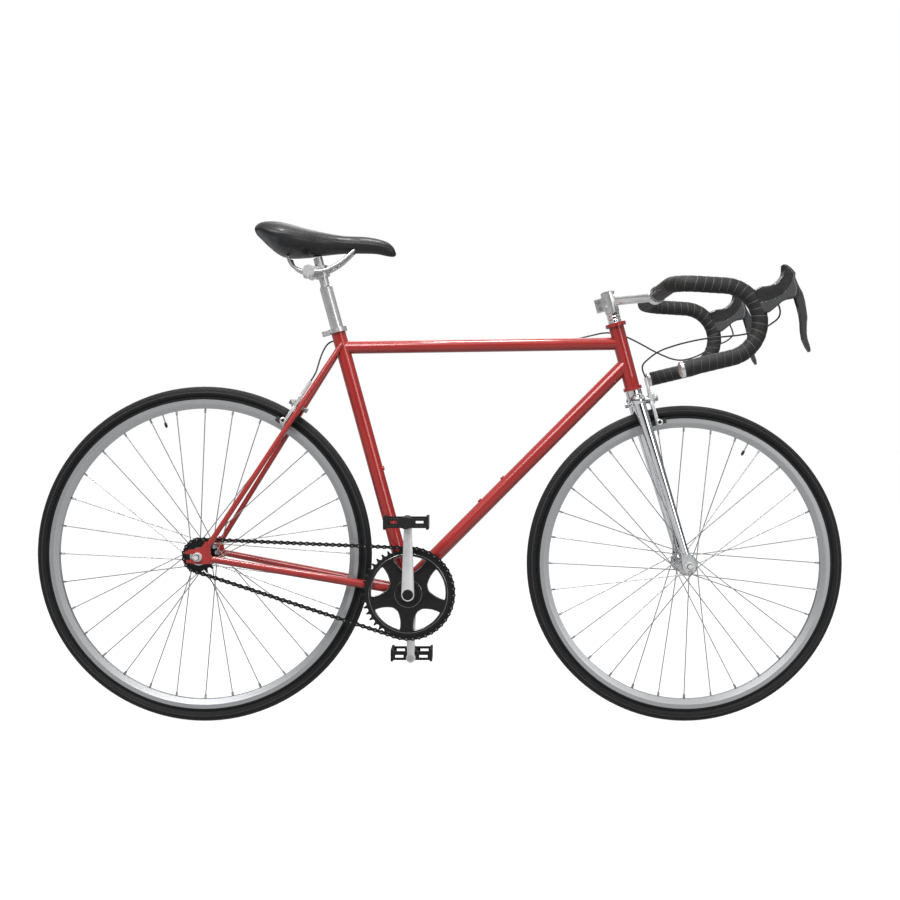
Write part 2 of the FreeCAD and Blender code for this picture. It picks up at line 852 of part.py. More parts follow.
stem_solid = fused(
    rod(steer_point(0, 0, stem_low), steer_point(0, 0, stem_high), size.stem_column_diameter),
    cone(arm_start, bar_centre, size.stem_arm_diameter * 1.06, size.stem_arm_diameter),
    rod(across(bar_centre, -half_clamp), across(bar_centre, half_clamp), size.bar_clamp_diameter),
    block(ear_centre, size.stem_ear_length, size.stem_ear_width, size.stem_ear_height, STEER_TURN),
)
node("stem", cut(
    stem_solid,
    rod(steer_point(0, 0, stem_low), steer_point(0, 0, stem_high), size.steerer_diameter + bolt_gap),
    rod(
        across(bar_centre, -half_clamp), across(bar_centre, half_clamp), size.bar_centre_diameter + bolt_gap
    ),
    block(
        steer_point(-(mm.steerer_diameter / 2 + mm.stem_ear_length), 0, (stem_low + stem_high) / 2),
        size.stem_ear_length * 2, size.clamp_slit, size.stem_column_height * 1.2, STEER_TURN,
    ),
    *ear_bolt_holes(),
))


def ear_bolt(along):
    """A bolt through the ears with a round head on the drive side and a nut on the other."""
    right = steer_point(ear_bolt_ahead, -half_ear, along)
    left = steer_point(ear_bolt_ahead, half_ear, along)
    return fused(
        rod(right, left, size.small_bolt_diameter),
        rod(right - LEFT * mm.small_head_height, right, size.small_head_diameter),
        prism(left, left + LEFT * mm.small_head_height, size.small_head_diameter),
    )


top_cap = turned((
    (0, 0), (size.stem_column_diameter / 2, 0), (size.stem_column_diameter / 2, size.top_cap_height * 0.4),
    (size.stem_column_diameter * 0.4, size.top_cap_height), (0, size.top_cap_height),
), Placement(steer_point(0, 0, stem_high), upright))
node("stem_bolts", bunch(ear_bolt(stem_bolt_heights[0]), ear_bolt(stem_bolt_heights[1]), top_cap))

# Handlebar: one bent tube, taped from near the clamp to both ends
half_bar = mm.bar_width / 2
ramp_angle = math.radians(mm.ramp_slope)
ramp_way = Vector(math.cos(ramp_angle), 0, -math.sin(ramp_angle))
hook_top = bar_centre + ramp_way * mm.bar_reach
hook_centre = hook_top + Vector(ramp_way.z, 0, -ramp_way.x) * mm.hook_radius
drop_angle = math.radians(90 - mm.drop_slope)
drop_turn = hook_centre + Vector(math.cos(drop_angle), 0, -math.sin(drop_angle)) * mm.hook_radius
drop_length = (drop_turn.x - bar_centre.x - mm.drop_back) / math.sin(drop_angle)
drop_end = drop_turn + Vector(-math.sin(drop_angle), 0, -math.cos(drop_angle)) * drop_length


def half_bar_edges(side, start):
    """The bar's centre line from a distance off the middle to its end."""
    corner = across(bar_centre, side * half_bar)
    radius = mm.bar_corner_radius
    corner_start = across(bar_centre, side * (half_bar - radius))
    corner_end = corner + ramp_way * radius
    inward = ramp_way * radius - LEFT * (side * radius)
    corner_middle = corner + inward * (1 - math.sqrt(0.5))
    hook_start = across(hook_top, side * half_bar)
    hook_middle = across(hook_centre + Vector(mm.hook_radius, 0, 0), side * half_bar)
    hook_end = across(drop_turn, side * half_bar)
    return [
        Part.makeLine(across(bar_centre, side * start), corner_start),
        Part.Arc(corner_start, corner_middle, corner_end).toShape(),
        Part.makeLine(corner_end, hook_start),
        Part.Arc(hook_start, hook_middle, hook_end).toShape(),
        Part.makeLine(hook_end, across(drop_end, side * half_bar)),
    ]


def bar_half(side, start, diameter):
    """One side of the bar as a solid round section."""
    return swept(Part.Wire(half_bar_edges(side, start)), diameter)


bar_sleeve = rod(
    across(bar_centre, -mm.bar_centre_width / 2),
    across(bar_centre, mm.bar_centre_width / 2), size.bar_centre_diameter
)
bar_bore = size.bar_diameter - 2 * size.bar_wall
node("handlebar", cut(
    fused(bar_half(1, 0, size.bar_diameter), bar_half(-1, 0, size.bar_diameter), bar_sleeve),
    bar_half(1, 0, bar_bore), bar_half(-1, 0, bar_bore),
))
tape_diameter = size.bar_diameter + 2 * size.tape_thickness


def tape(side):
    """The tape wound on one side of the bar."""
    inside = bar_half(side, mm.tape_start, size.bar_diameter + bolt_gap)
    return cut(bar_half(side, mm.tape_start, tape_diameter), inside)


node("bar_tape", bunch(tape(1), tape(-1)))
PLUG = (
    (0, -size.plug_depth), (bar_bore / 2 - size.running_gap, -size.plug_depth),
    (bar_bore / 2 - size.running_gap, 0),
    (tape_diameter / 2, 0), (tape_diameter / 2, size.plug_length * 0.7),
    (tape_diameter * 0.4, size.plug_length),
    (0, size.plug_length),
)
drop_way = drop_end - drop_turn
node("bar_end_plugs", bunch(*[
    turned(PLUG, Placement(across(drop_end, side * half_bar), Rotation(UP, drop_way))) for side in (1, -1)
]))

# Brake levers
hood_corner = hook_centre + Vector(mm.hood_back, 0, mm.hood_base)
HOOD_SHARES = (
    (0.0, 0.48), (0.19, 0.555), (0.41, 0.575), (0.58, 0.65),
    (0.685, 0.765), (0.70, 0.90), (0.74, 1.0), (0.80, 0.995),
    (0.90, 0.92), (0.99, 0.82), (0.97, 0.765), (0.81, 0.745),
    (0.81, 0.29), (0.73, 0.25), (0.55, 0.14), (0.36, -0.02),
)
TONGUE_SHARES = (
    (0.78, 0.74), (0.93, 0.70), (0.985, 0.65), (0.985, 0.585),
    (0.93, 0.51), (0.90, 0.31), (0.86, 0.28), (0.78, 0.30),
)
LEVER_SHARES = (
    (-0.20, 0.03), (-0.10, 0.065), (0.12, 0.06), (0.24, -0.03), (0.44, -0.14), (0.54, -0.25), (0.60, -0.36),
    (0.65, -0.47), (0.62, -0.59), (0.62, -0.70), (0.66, -0.78), (0.77, -0.88), (0.80, -0.94), (0.76, -0.96),
    (0.60, -0.89), (0.44, -0.78), (0.38, -0.66), (0.36, -0.54), (0.32, -0.45), (0.22, -0.33), (0.12, -0.23),
    (-0.06, -0.08), (-0.20, -0.04),
)
SLOT_SHARES = (
    (-0.60, 0.10), (0.03, 0.10), (0.14, 0.03), (0.15, -0.035), (0.30, -0.15), (0.40, -0.25), (0.42, -0.31),
    (0.30, -0.34), (-0.60, -0.34),
)


def hood_point(length_share, height_share):
    """A place inside the hood's box in the side view."""
    return hood_corner + Vector(mm.hood_length * length_share, 0, mm.hood_height * height_share)


lever_pivot = hood_point(mm.lever_pivot_length_share, mm.lever_pivot_height_share)


def brake_hood(side):
    """A lever body with its hood, shaped to the taped bar, and the lever's pin."""
    place = Placement(across(hood_corner, side * half_bar), SIDE_VIEW)
    wide = plate(sharesof(size.hood_length, size.hood_height, HOOD_SHARES), size.hood_width, place)
    tongue = plate(sharesof(size.hood_length, size.hood_height, TONGUE_SHARES), size.tongue_width, place)
    taped_bar = hoop(
        across(hook_centre, side * half_bar), size.hook_radius, tape_diameter / 2 + size.running_gap
    )
    pivot = across(lever_pivot, side * half_bar)
    half_lever = LEFT * (mm.lever_width / 2)
    pin = rod(pivot - half_lever, pivot + half_lever, size.lever_pin_diameter)
    return fused(cut(wide, taped_bar), tongue, pin)


def brake_lever(side):
    """A lever blade, forked over the body's tongue."""
    pivot = across(lever_pivot, side * half_bar)
    place = Placement(pivot, SIDE_VIEW)
    blade = plate(sharesof(size.lever_depth, size.lever_length, LEVER_SHARES), size.lever_width, place)
    slot = plate(sharesof(size.lever_depth, size.lever_length, SLOT_SHARES), size.lever_slot, place)
    hole_half = LEFT * mm.lever_width
    hole = rod(pivot - hole_half, pivot + hole_half, size.lever_pin_diameter + bolt_gap)
    return cut(blade, slot, hole)


node("brake_hoods", bunch(brake_hood(1), brake_hood(-1)))
node("right_lever", brake_lever(-1))
node("left_lever", brake_lever(1))

# Brake calipers: two arms on one bolt, drawn in the plane across the wheel
ARM_SHARES = (
    (-0.24, 0.55), (0.0, 1.0), (0.45, 0.75), (0.86, -0.2),
    (1.0, -1.6), (1.0, "low"), (0.68, "low"), (0.68, -2.0),
    (0.55, -1.0), (0.26, -0.8), (0.0, -0.95), (-0.24, -0.6),
)
HORN_SHARES = ((0.35, 0.4), (0.68, 2.1), (0.98, 2.1), (0.98, 1.3), (0.9, -0.3), (0.5, -0.5))
REACH_SHARES = (
    (-0.2, 0.9), (0.45, 1.0), (0.98, 0.85), (0.98, 0.0), (0.62, -0.1), (0.3, -0.5), (0.0, -0.8),
)
anchor_height_share = 0.4
shoe_low_share = 0.45
shoe_bolt_reach_share = 1.14
tail_nut_share = 0.8
shoe_middle = mm.rim_width / 2 + mm.shoe_gap + mm.shoe_thickness / 2


def caliper(origin, ahead, up, cable_side, drop, adjuster_length, bolt_back, bolt_front):
    """Both arms with their shoes, and the bolt, of one side-pull brake.

    The arm on the cable's side carries the adjuster on a horn; the other arm
    crosses the bolt below it and carries the anchor that the cable pulls up.
    """
    sideways = up.cross(ahead)
    turn = Rotation(FreeCAD.Matrix(
        sideways.x, up.x, ahead.x, 0,
        sideways.y, up.y, ahead.y, 0,
        sideways.z, up.z, ahead.z, 0,
        0, 0, 0, 1,
    ))

    def place(side, x, z, depth):
        return origin + sideways * (side * x) + up * z + ahead * depth

    def arm(side, depth, holds_adjuster):
        half = size.caliper_half_width
        rise = size.caliper_boss_height
        low = -(drop + size.shoe_height * shoe_low_share)
        corners = [
            (half * (x * side) if x else 0, low if y == "low" else rise * y) for x, y in ARM_SHARES
        ]
        flat = Placement(origin + ahead * depth, turn)
        pieces = [plate(corners, size.caliper_plate, flat)]
        shoe = place(side, shoe_middle, -float(drop), 0)
        outer = place(side, mm.caliper_half_width * shoe_bolt_reach_share, -float(drop), 0)
        pieces.append(block(shoe, size.shoe_thickness, size.shoe_height, size.shoe_length, turn))
        pieces.append(rod(shoe, outer, size.shoe_bolt_diameter))
        if holds_adjuster:
            horn = [(half * (x * side), rise * y) for x, y in HORN_SHARES]
            pieces.append(plate(horn, size.caliper_plate, flat))
            foot = place(cable_side, mm.adjuster_side, mm.adjuster_base, depth)
            head = place(cable_side, mm.adjuster_side, mm.adjuster_base + adjuster_length, depth)
            pieces.append(rod(foot, head, size.adjuster_diameter))
        else:
            reach = [(half * (-x * side) if x else 0, rise * y) for x, y in REACH_SHARES]
            pieces.append(plate(reach, size.caliper_plate, flat))
            anchor = place(
                cable_side, mm.adjuster_side, anchor_height_share * mm.caliper_boss_height, depth
            )
            bolt_end = anchor + ahead * mm.caliper_plate
            pieces.append(rod(anchor - ahead * (mm.caliper_plate / 2), bolt_end, size.adjuster_diameter))
        hole = rod(
            origin - ahead * mm.shoe_length, origin + ahead * mm.shoe_length,
            size.brake_bolt_diameter + bolt_gap
        )
        return cut(fused(*pieces), hole)

    depth = (mm.caliper_plate + mm.curve_gap) / 2
    horn_arm = arm(cable_side, -depth, True)
    reach_arm = arm(-cable_side, depth, False)
    head_start = origin + ahead * (mm.caliper_plate + mm.curve_gap * 2)
    tail = origin - ahead * bolt_back
    bolt = fused(
        rod(tail, head_start, size.brake_bolt_diameter),
        prism(head_start, head_start + ahead * mm.brake_nut_height, size.brake_nut_diameter),
        rod(
            origin - ahead * bolt_front,
            origin - ahead * (mm.caliper_plate + mm.curve_gap * 2),
            size.brake_nut_diameter,
        ),
        rod(tail, tail + ahead * mm.brake_nut_height, size.brake_nut_diameter * tail_nut_share),
    )
    adjuster_top = place(cable_side, mm.adjuster_side, mm.adjuster_base + adjuster_length, -depth)
    return horn_arm, reach_arm, bolt, adjuster_top


front_brake = steer_point(mm.front_brake_forward, 0, mm.front_brake_height)
front_back = mm.front_brake_forward + mm.race_diameter / 2 + mm.brake_nut_height + mm.curve_gap
front_horn, front_reach, front_bolt, front_adjuster = caliper(
    front_brake, steer_ahead, steer_way, -1, size.front_shoe_drop, mm.front_adjuster_length, front_back,
    mm.front_brake_forward - mm.race_diameter / 2 - mm.curve_gap,
)
node("front_brake_right_arm", front_horn)
node("front_brake_left_arm", front_reach)
node("front_brake_bolt", front_bolt)
rear_brake = bridge + bridge_behind * mm.rear_brake_behind
rear_back = mm.rear_brake_behind + mm.seat_stay_diameter / 2 + mm.brake_nut_height + mm.curve_gap
rear_horn, rear_reach, rear_bolt, rear_adjuster = caliper(
    rear_brake, bridge_behind, bridge_up, 1, size.rear_shoe_drop, mm.rear_adjuster_length, rear_back,
    mm.rear_brake_behind - mm.seat_stay_diameter / 2 - mm.curve_gap,
)
node("rear_brake_right_arm", rear_horn)
node("rear_brake_left_arm", rear_reach)
node("rear_brake_bolt", rear_bolt)


# Wheels
def turned_across(corners, centre):
    """A turned piece about an axle, from (radius, distance to the left) corners."""
    return turned(corners, Placement(centre, ACROSS))


def band(inner, outer, right, left):
    """The corners of a plain ring."""
    return ((inner, right), (outer, right), (outer, left), (inner, left))


def spoke_places(side):
    """Rim angle, hub angle and whether it lies outside the flange, for one flange's spokes."""
    step = 360 / mm.spoke_count
    for index in range(0 if side > 0 else 1, int(mm.spoke_count), 2):
        outside = index % 4 < 2
        rim_angle = index * step
        yield rim_angle, rim_angle + (mm.spoke_crossing if outside else -mm.spoke_crossing), outside


def spoke(axle, side, rim_angle, hub_angle, outside, flange_y, rim_radius):
    """A bent spoke with its nipple."""
    face = mm.flange_thickness / 2 + mm.spoke_diameter / 2 + mm.spoke_stand_off
    main_y = side * (flange_y + (face if outside else -face))
    far_y = side * (flange_y - (face if outside else -face))
    elbow = axle + across(polar(mm.spoke_circle_diameter / 2, hub_angle), main_y)
    end = axle + across(polar(mm.spoke_circle_diameter / 2, hub_angle), far_y)
    tip = axle + across(polar(rim_radius - mm.curve_gap, rim_angle), side * mm.spoke_rim_offset)
    way = (tip - elbow).normalize()
    radius = mm.spoke_diameter / 2
    straight = Part.makeCylinder(radius, (tip - elbow).Length, elbow, way)
    bend = Part.makeSphere(radius, elbow)
    through = Part.makeCylinder(radius, (end - elbow).Length, elbow, end - elbow)
    nipple = Part.makeBox(mm.nipple_width, mm.nipple_width, mm.nipple_length)
    nipple.translate(Vector(-mm.nipple_width / 2, -mm.nipple_width / 2, -mm.nipple_length))
    nipple.Placement = Placement(tip, Rotation(UP, way)).multiply(nipple.Placement)
    return straight.fuse([bend, through, nipple]).removeSplitter()


def wheel(name, axle, diameter, flange_spread, hub_spacing, axle_diameter, end_diameter, valve_angle):
    """The pieces that turn together on one axle."""
    tyre_ring = diameter / 2 - size.tyre_width / 2
    rim_outer = diameter / 2 - size.rim_inset
    half_rim = size.rim_width / 2
    bed = rim_outer - size.rim_well
    inside = half_rim - size.rim_flange
    tube_radius = size.tyre_width / 2 - size.tyre_wall - size.tube_slack
    bead_width = inside - size.tube_slack
    bead = turned_across(
        band(bed + size.tube_slack, rim_outer + size.rim_flange, -bead_width, bead_width), axle
    )
    mouth_width = bead_width - size.tyre_wall
    mouth = turned_across(
        band(bed - size.rim_flange, rim_outer + 2 * size.tyre_wall, -mouth_width, mouth_width), axle
    )
    casing = fused(hoop(axle, tyre_ring, size.tyre_width / 2), bead)
    air_room = hoop(axle, tyre_ring, size.tyre_width / 2 - size.tyre_wall)
    node(f"{name}_tyre", cut(casing, air_room, mouth))
    valve_start = axle + polar(float(tyre_ring - tube_radius + size.tube_rubber / 2), valve_angle)
    valve_end = axle + polar(float(tyre_ring - tube_radius - size.valve_length), valve_angle)
    air_tube = cut(
        hoop(axle, tyre_ring, tube_radius), hoop(axle, tyre_ring, tube_radius - size.tube_rubber)
    )
    node(f"{name}_inner_tube", fused(air_tube, rod(valve_start, valve_end, size.valve_diameter)))
    inner = rim_outer - size.rim_depth
    half_inner = size.rim_inner_width / 2
    track = rim_outer - size.rim_track
    ring = turned_across((
        (rim_outer, half_rim), (rim_outer, inside), (bed, inside), (bed, -inside), (rim_outer, -inside),
        (rim_outer, -half_rim), (track, -half_rim),
        (inner, -half_inner), (inner, half_inner), (track, half_rim),
    ), axle)
    node(f"{name}_rim", cut(ring, rod(valve_start, valve_end, size.valve_diameter + 2 * size.curve_gap)))
    flange_y = flange_spread / 2
    flange_face = flange_y + size.flange_thickness / 2
    flange_back = flange_y - size.flange_thickness / 2
    hub_end = hub_spacing / 2 - size.hub_end_gap
    seat = hub_end - size.hub_bearing_width
    half = (
        (size.hub_bearing_diameter / 2, hub_end),
        (end_diameter / 2, hub_end), (end_diameter / 2, flange_face),
        (size.flange_diameter / 2, flange_face), (size.flange_diameter / 2, flange_back),
        (size.hub_end_diameter / 2, flange_back),
        (size.hub_shell_diameter / 2, flange_back - 2 * size.flange_thickness),
    )
    other_half = tuple((radius, -height) for radius, height in reversed(half))
    seats = (
        (size.hub_bearing_diameter / 2, -seat), (size.hub_bore / 2, -seat),
        (size.hub_bore / 2, seat), (size.hub_bearing_diameter / 2, seat),
    )
    shell = turned_across(half + other_half + seats, axle)
    holes = []
    wires = []
    for side in (1, -1):
        for rim_angle, hub_angle, outside in spoke_places(side):
            foot = axle + polar(mm.spoke_circle_diameter / 2, hub_angle)
            near = across(foot, side * float(flange_back - size.flange_thickness))
            far = across(foot, side * float(flange_face + size.flange_thickness))
            holes.append(rod(near, far, size.spoke_diameter + size.curve_gap))
            wires.append(spoke(axle, side, rim_angle, hub_angle, outside, float(flange_y), float(inner)))
    node(f"{name}_hub", cut(shell, bunch(*holes)))
    node(f"{name}_spokes", custom(Part.makeCompound(wires)))
    race = axle_diameter / 2 + size.running_gap
    node(f"{name}_hub_bearings", bunch(
        turned_across(band(race, size.hub_bearing_diameter / 2, seat, hub_end), axle),
        turned_across(band(race, size.hub_bearing_diameter / 2, -hub_end, -seat), axle),
    ))


def wheel_axle(axle, hub_spacing, plate_thickness, diameter):
    """An axle with its locknuts inside and its nuts and washers outside the frame's ends."""
    half = hub_spacing / 2
    end = half + plate_thickness + mm.axle_overhang
    pieces = [rod(across(axle, -end), across(axle, end), diameter)]
    for side in (1, -1):
        inner = half - mm.hub_end_gap + mm.curve_gap
        face = half + plate_thickness
        washer = face + mm.axle_washer_height
        pieces.append(rod(across(axle, side * inner), across(axle, side * half), size.locknut_diameter))
        pieces.append(
            rod(across(axle, side * face), across(axle, side * washer), size.axle_washer_diameter)
        )
        nut_end = across(axle, side * (washer + mm.axle_nut_height))
        pieces.append(prism(across(axle, side * washer), nut_end, size.axle_nut_diameter))
    return fused(*pieces)


wheel(
    "front", front_axle, size.front_wheel_diameter, size.front_flange_spread, size.front_hub_spacing,
    size.front_axle_diameter, size.hub_end_diameter, mm.front_valve_angle,
)
wheel(
    "rear", rear_axle, size.rear_wheel_diameter, size.rear_flange_spread, size.rear_hub_spacing,
    size.rear_axle_diameter, size.cog_bore - bolt_gap, mm.rear_valve_angle,
)
node(
    "front_axle",
    wheel_axle(front_axle, mm.front_hub_spacing, mm.fork_tip_thickness, size.front_axle_diameter)
)
node(
    "rear_axle", wheel_axle(rear_axle, mm.rear_hub_spacing, mm.track_end_thickness, size.rear_axle_diameter)
)


# Sprockets: a toothed disc cut by one tooth gap that is repeated round it
def circle_sketch(body, *circles):
    """Circles drawn on a body's own XY plane, each as (x, radius)."""
    sketch = body.newObject("Sketcher::SketchObject", "Circles")
    sketch.AttachmentSupport = (plane_of(body, "XY_Plane"), [""])
    sketch.MapMode = "FlatFace"
    for x, radius in circles:
        index = sketch.addGeometry(Part.Circle(Vector(float(x), 0, 0), UP, float(radius)))
        hold_point(sketch, index, 3, x, 0)
        number = sketch.addConstraint(Sketcher.Constraint("Radius", index, float(radius)))
        sketch.setExpression(f"Constraints[{number}]", radius.text)
    return sketch


def through_pocket(body, sketch):
    """Cut a drawing right through a body."""
    pocket = body.newObject("PartDesign::Pocket", "Gap")
    pocket.Profile = sketch
    pocket.Type = 1
    pocket.Midplane = True
    return pocket


def repeated(body, features, sketch, count):
    """Repeat features round a body's axis."""
    pattern = body.newObject("PartDesign::PolarPattern", "Repeat")
    pattern.Originals = features
    pattern.Axis = (sketch, ["N_Axis"])
    pattern.Angle = 360
    bind(pattern, Occurrences=count)
    body.Tip = pattern
    return pattern


def sprocket(teeth, bore):
    """A toothed disc with its first tooth gap on its own X."""
    body = document.addObject("PartDesign::Body", "Sprocket")
    pitch_radius = size.chain_pitch / (2 * sine(180 / teeth))
    tip_radius = pitch_radius + size.tooth_height
    pad = body.newObject("PartDesign::Pad", "Disc")
    pad.Profile = circle_sketch(body, (0, tip_radius), (0, bore / 2))
    pad.Midplane = True
    bind(pad, Length=size.sprocket_thickness)
    seat = size.roller_diameter / 2 + size.tooth_clearance
    seat_sketch = circle_sketch(body, (pitch_radius, seat))
    seat_cut = through_pocket(body, seat_sketch)
    mouth = (size.chain_pitch * tip_radius / pitch_radius - size.tooth_tip) / 2
    outer = tip_radius + size.tooth_height
    flare = mouth + (mouth - seat)
    flank = drawn(
        body, "XY_Plane", ((pitch_radius, -seat), (outer, -flare), (outer, flare), (pitch_radius, seat))
    )
    flank_cut = through_pocket(body, flank)
    repeated(body, [seat_cut, flank_cut], seat_sketch, teeth)
    return body


run_angle = math.degrees(math.atan2(rear_axle.z - bracket.z, rear_axle.x - bracket.x))
tangent_angle = 90 - math.degrees(chain_lean)
upper_angle = run_angle - tangent_angle
lower_angle = run_angle + tangent_angle
cog_pin = math.ceil(links_on_ring + links_on_run) - (links_on_ring + links_on_run)
cog_phase = lower_angle - cog_pin * 360 / mm.cog_teeth
chain_plane = -mm.chain_line


def ring_window(body, turn):
    """A window between two arms of the ring."""
    outer = size.ring_window_outer
    inner = size.ring_window_inner
    half_turn = math.pi / mm.ring_arms
    outer_half = half_turn - math.asin(mm.ring_arm_width / 2 / mm.ring_window_outer)
    inner_half = half_turn - math.asin(mm.ring_arm_width / 2 / mm.ring_window_inner)
    sketch = body.newObject("Sketcher::SketchObject", "Window")
    sketch.AttachmentSupport = (plane_of(body, "XY_Plane"), [""])
    sketch.MapMode = "FlatFace"
    sketch.AttachmentOffset = Placement(Vector(), Rotation(UP, turn))
    ends = {}
    for radius, half in ((outer, outer_half), (inner, inner_half)):
        for side in (-1, 1):
            ends[radius.text, side] = (radius * math.cos(half), radius * (side * math.sin(half)))
    flat = {key: Vector(float(x), float(y), 0) for key, (x, y) in ends.items()}
    for side in (-1, 1):
        sketch.addGeometry(Part.LineSegment(flat[outer.text, side], flat[inner.text, side]))
    sketch.addGeometry(Part.ArcOfCircle(Part.Circle(Vector(), UP, float(outer)), -outer_half, outer_half))
    sketch.addGeometry(Part.ArcOfCircle(Part.Circle(Vector(), UP, float(inner)), -inner_half, inner_half))
    for arc, end in ((2, 1), (3, 2)):
        sketch.addConstraint(Sketcher.Constraint("Coincident", 0, end, arc, 1))
        sketch.addConstraint(Sketcher.Constraint("Coincident", 1, end, arc, 2))
        sketch.addConstraint(Sketcher.Constraint("Coincident", arc, 3, -1, 1))
    for end, radius in ((1, outer), (2, inner)):
        hold_point(sketch, 0, end, *ends[radius.text, -1])
        height = ends[radius.text, 1][1]
        number = sketch.addConstraint(Sketcher.Constraint("DistanceY", -1, 1, 1, end, float(height)))
        sketch.setExpression(f"Constraints[{number}]", height.text)
    return sketch


def chain_ring():
    """The chainring: teeth, five arms and a raised centre."""
    body = sprocket(size.ring_teeth, size.ring_bore)
    window = ring_window(body, 270 + 180 / mm.ring_arms - upper_angle)
    cut_window = through_pocket(body, window)
    repeated(body, [cut_window], window, size.ring_arms)
    boss = body.newObject("PartDesign::Pad", "Boss")
    boss.Profile = circle_sketch(body, (0, size.ring_boss_diameter / 2), (0, size.ring_bore / 2))
    bind(boss, Length=size.sprocket_thickness / 2 + size.ring_boss_height)
    body.Tip = boss
    document.recompute()
    corners = []
    for number, edge in enumerate(boss.Shape.Edges, start=1):
        reach = math.hypot(edge.CenterOfMass.x, edge.CenterOfMass.y)
        upright_edge = abs(edge.BoundBox.ZLength - mm.sprocket_thickness) < mm.running_gap
        between = mm.ring_window_inner - mm.running_gap < reach < mm.ring_window_outer + mm.running_gap
        if upright_edge and between:
            corners.append(f"Edge{number}")
    rounding = body.newObject("PartDesign::Fillet", "Rounding")
    rounding.Base = (boss, corners)
    bind(rounding, Radius=size.ring_window_rounding)
    body.Tip = rounding
    return body


ring = node("chainring", chain_ring())
ring.Placement = Placement(across(bracket, chain_plane), SIDE_VIEW.multiply(Rotation(UP, upper_angle)))
cog = sprocket(size.cog_teeth, size.cog_bore)
cog.Placement = Placement(across(rear_axle, chain_plane), SIDE_VIEW.multiply(Rotation(UP, cog_phase)))
lock_face = -(size.chain_line + size.sprocket_thickness / 2)
lockring = turned_across(
    band(size.cog_bore / 2, size.lockring_diameter / 2, lock_face - size.lockring_width, lock_face),
    rear_axle
)
node("cog", bunch(cog, lockring))


# The chain: inner links with their rollers and pairs of outer plates between pins
def chain_pin(count):
    """The place of a pin by its number of links from the ring's upper edge."""
    if count <= links_on_ring:
        return bracket + polar(ring_pitch_radius, upper_angle - count * 360 / mm.ring_teeth)
    count -= links_on_ring
    ring_low = bracket + polar(ring_pitch_radius, lower_angle)
    cog_low = rear_axle + polar(cog_pitch_radius, lower_angle)
    if count <= links_on_run:
        return ring_low + (cog_low - ring_low) * (count / links_on_run)
    count -= links_on_run
    if count <= links_on_cog:
        return rear_axle + polar(cog_pitch_radius, lower_angle - count * 360 / mm.cog_teeth)
    count -= links_on_cog
    cog_high = rear_axle + polar(cog_pitch_radius, upper_angle)
    ring_high = bracket + polar(ring_pitch_radius, upper_angle)
    return cog_high + (ring_high - cog_high) * (count / links_on_run)


def link_plate(near_face):
    """A flat link plate along X with eight sides."""
    half = mm.chain_pitch / 2
    tall = mm.link_half_height
    bevel = tall * 0.42
    outline = [
        Vector(x * (half + reach), y * height, 0)
        for x, y, reach, height in (
            (1, -1, tall, bevel), (1, 1, tall, bevel), (1, 1, bevel, tall), (-1, 1, bevel, tall),
            (-1, 1, tall, bevel), (-1, -1, tall, bevel), (-1, -1, bevel, tall), (1, -1, bevel, tall),
        )
    ]
    face = Part.Face(Part.makePolygon(outline + outline[:1]))
    face.translate(UP * near_face)
    return face.extrude(UP * mm.link_plate)


def roller(x):
    """A six-sided roller across a link's inside."""
    radius = mm.roller_diameter / 2
    outline = []
    for index in range(6):
        angle = math.radians(60 * index)
        outline.append(Vector(x + radius * math.cos(angle), radius * math.sin(angle), -mm.link_inside / 2))
    return Part.Face(Part.makePolygon(outline + outline[:1])).extrude(UP * mm.link_inside)


def inner_link():
    """Two plates and two rollers as one solid."""
    half = mm.chain_pitch / 2
    near = link_plate(mm.link_inside / 2)
    far = link_plate(-mm.link_inside / 2 - mm.link_plate)
    return near.fuse([far, roller(-half), roller(half)]).removeSplitter()


outer_face = mm.link_inside / 2 + mm.link_plate + mm.link_gap
inner_shapes = [inner_link()]
outer_shapes = [link_plate(outer_face), link_plate(-outer_face - mm.link_plate)]
links = []
for index in range(int(mm.chain_links)):
    start = chain_pin(index)
    end = chain_pin(index + 1)
    link_turn = math.degrees(math.atan2(end.z - start.z, end.x - start.x))
    place = Placement(across((start + end) * 0.5, chain_plane), SIDE_VIEW.multiply(Rotation(UP, link_turn)))
    for shape in outer_shapes if index % 2 else inner_shapes:
        link = shape.copy()
        link.Placement = place.multiply(link.Placement)
        links.append(link)
node("chain", custom(Part.makeCompound(links)))

# Bottom bracket, cranks and pedals
cup_depth = size.bracket_shell_width * -0.2
CUP_BODY = (
    (size.spindle_diameter / 2 + size.running_gap, cup_depth), (size.bracket_shell_bore / 2, cup_depth),
    (size.bracket_shell_bore / 2, 0), (size.cup_flange_diameter / 2, 0),
    (size.cup_flange_diameter / 2, size.cup_flange_height),
    (size.spindle_diameter / 2 + size.running_gap, size.cup_flange_height),
)
node("bottom_bracket_cups", bunch(
    turned(CUP_BODY, Placement(shell_left, ACROSS)), turned(CUP_BODY, Placement(shell_right, SIDE_VIEW)),
))
spindle_face = mm.chain_line - mm.sprocket_thickness
crank_inside = mm.crank_line - mm.crank_thickness / 2
crank_face = mm.crank_line + mm.crank_thickness / 2
square_end = crank_face - mm.crank_cap_height - mm.curve_gap
square_middle = (square_end + spindle_face) / 2


def spindle_square(side):
    """A squared end of the spindle."""
    centre = across(bracket, side * square_middle)
    return block(centre, size.spindle_square, square_end - spindle_face, size.spindle_square)


node("bottom_bracket_spindle", fused(
    rod(across(bracket, -spindle_face), across(bracket, spindle_face), size.spindle_diameter),
    spindle_square(1), spindle_square(-1),
))


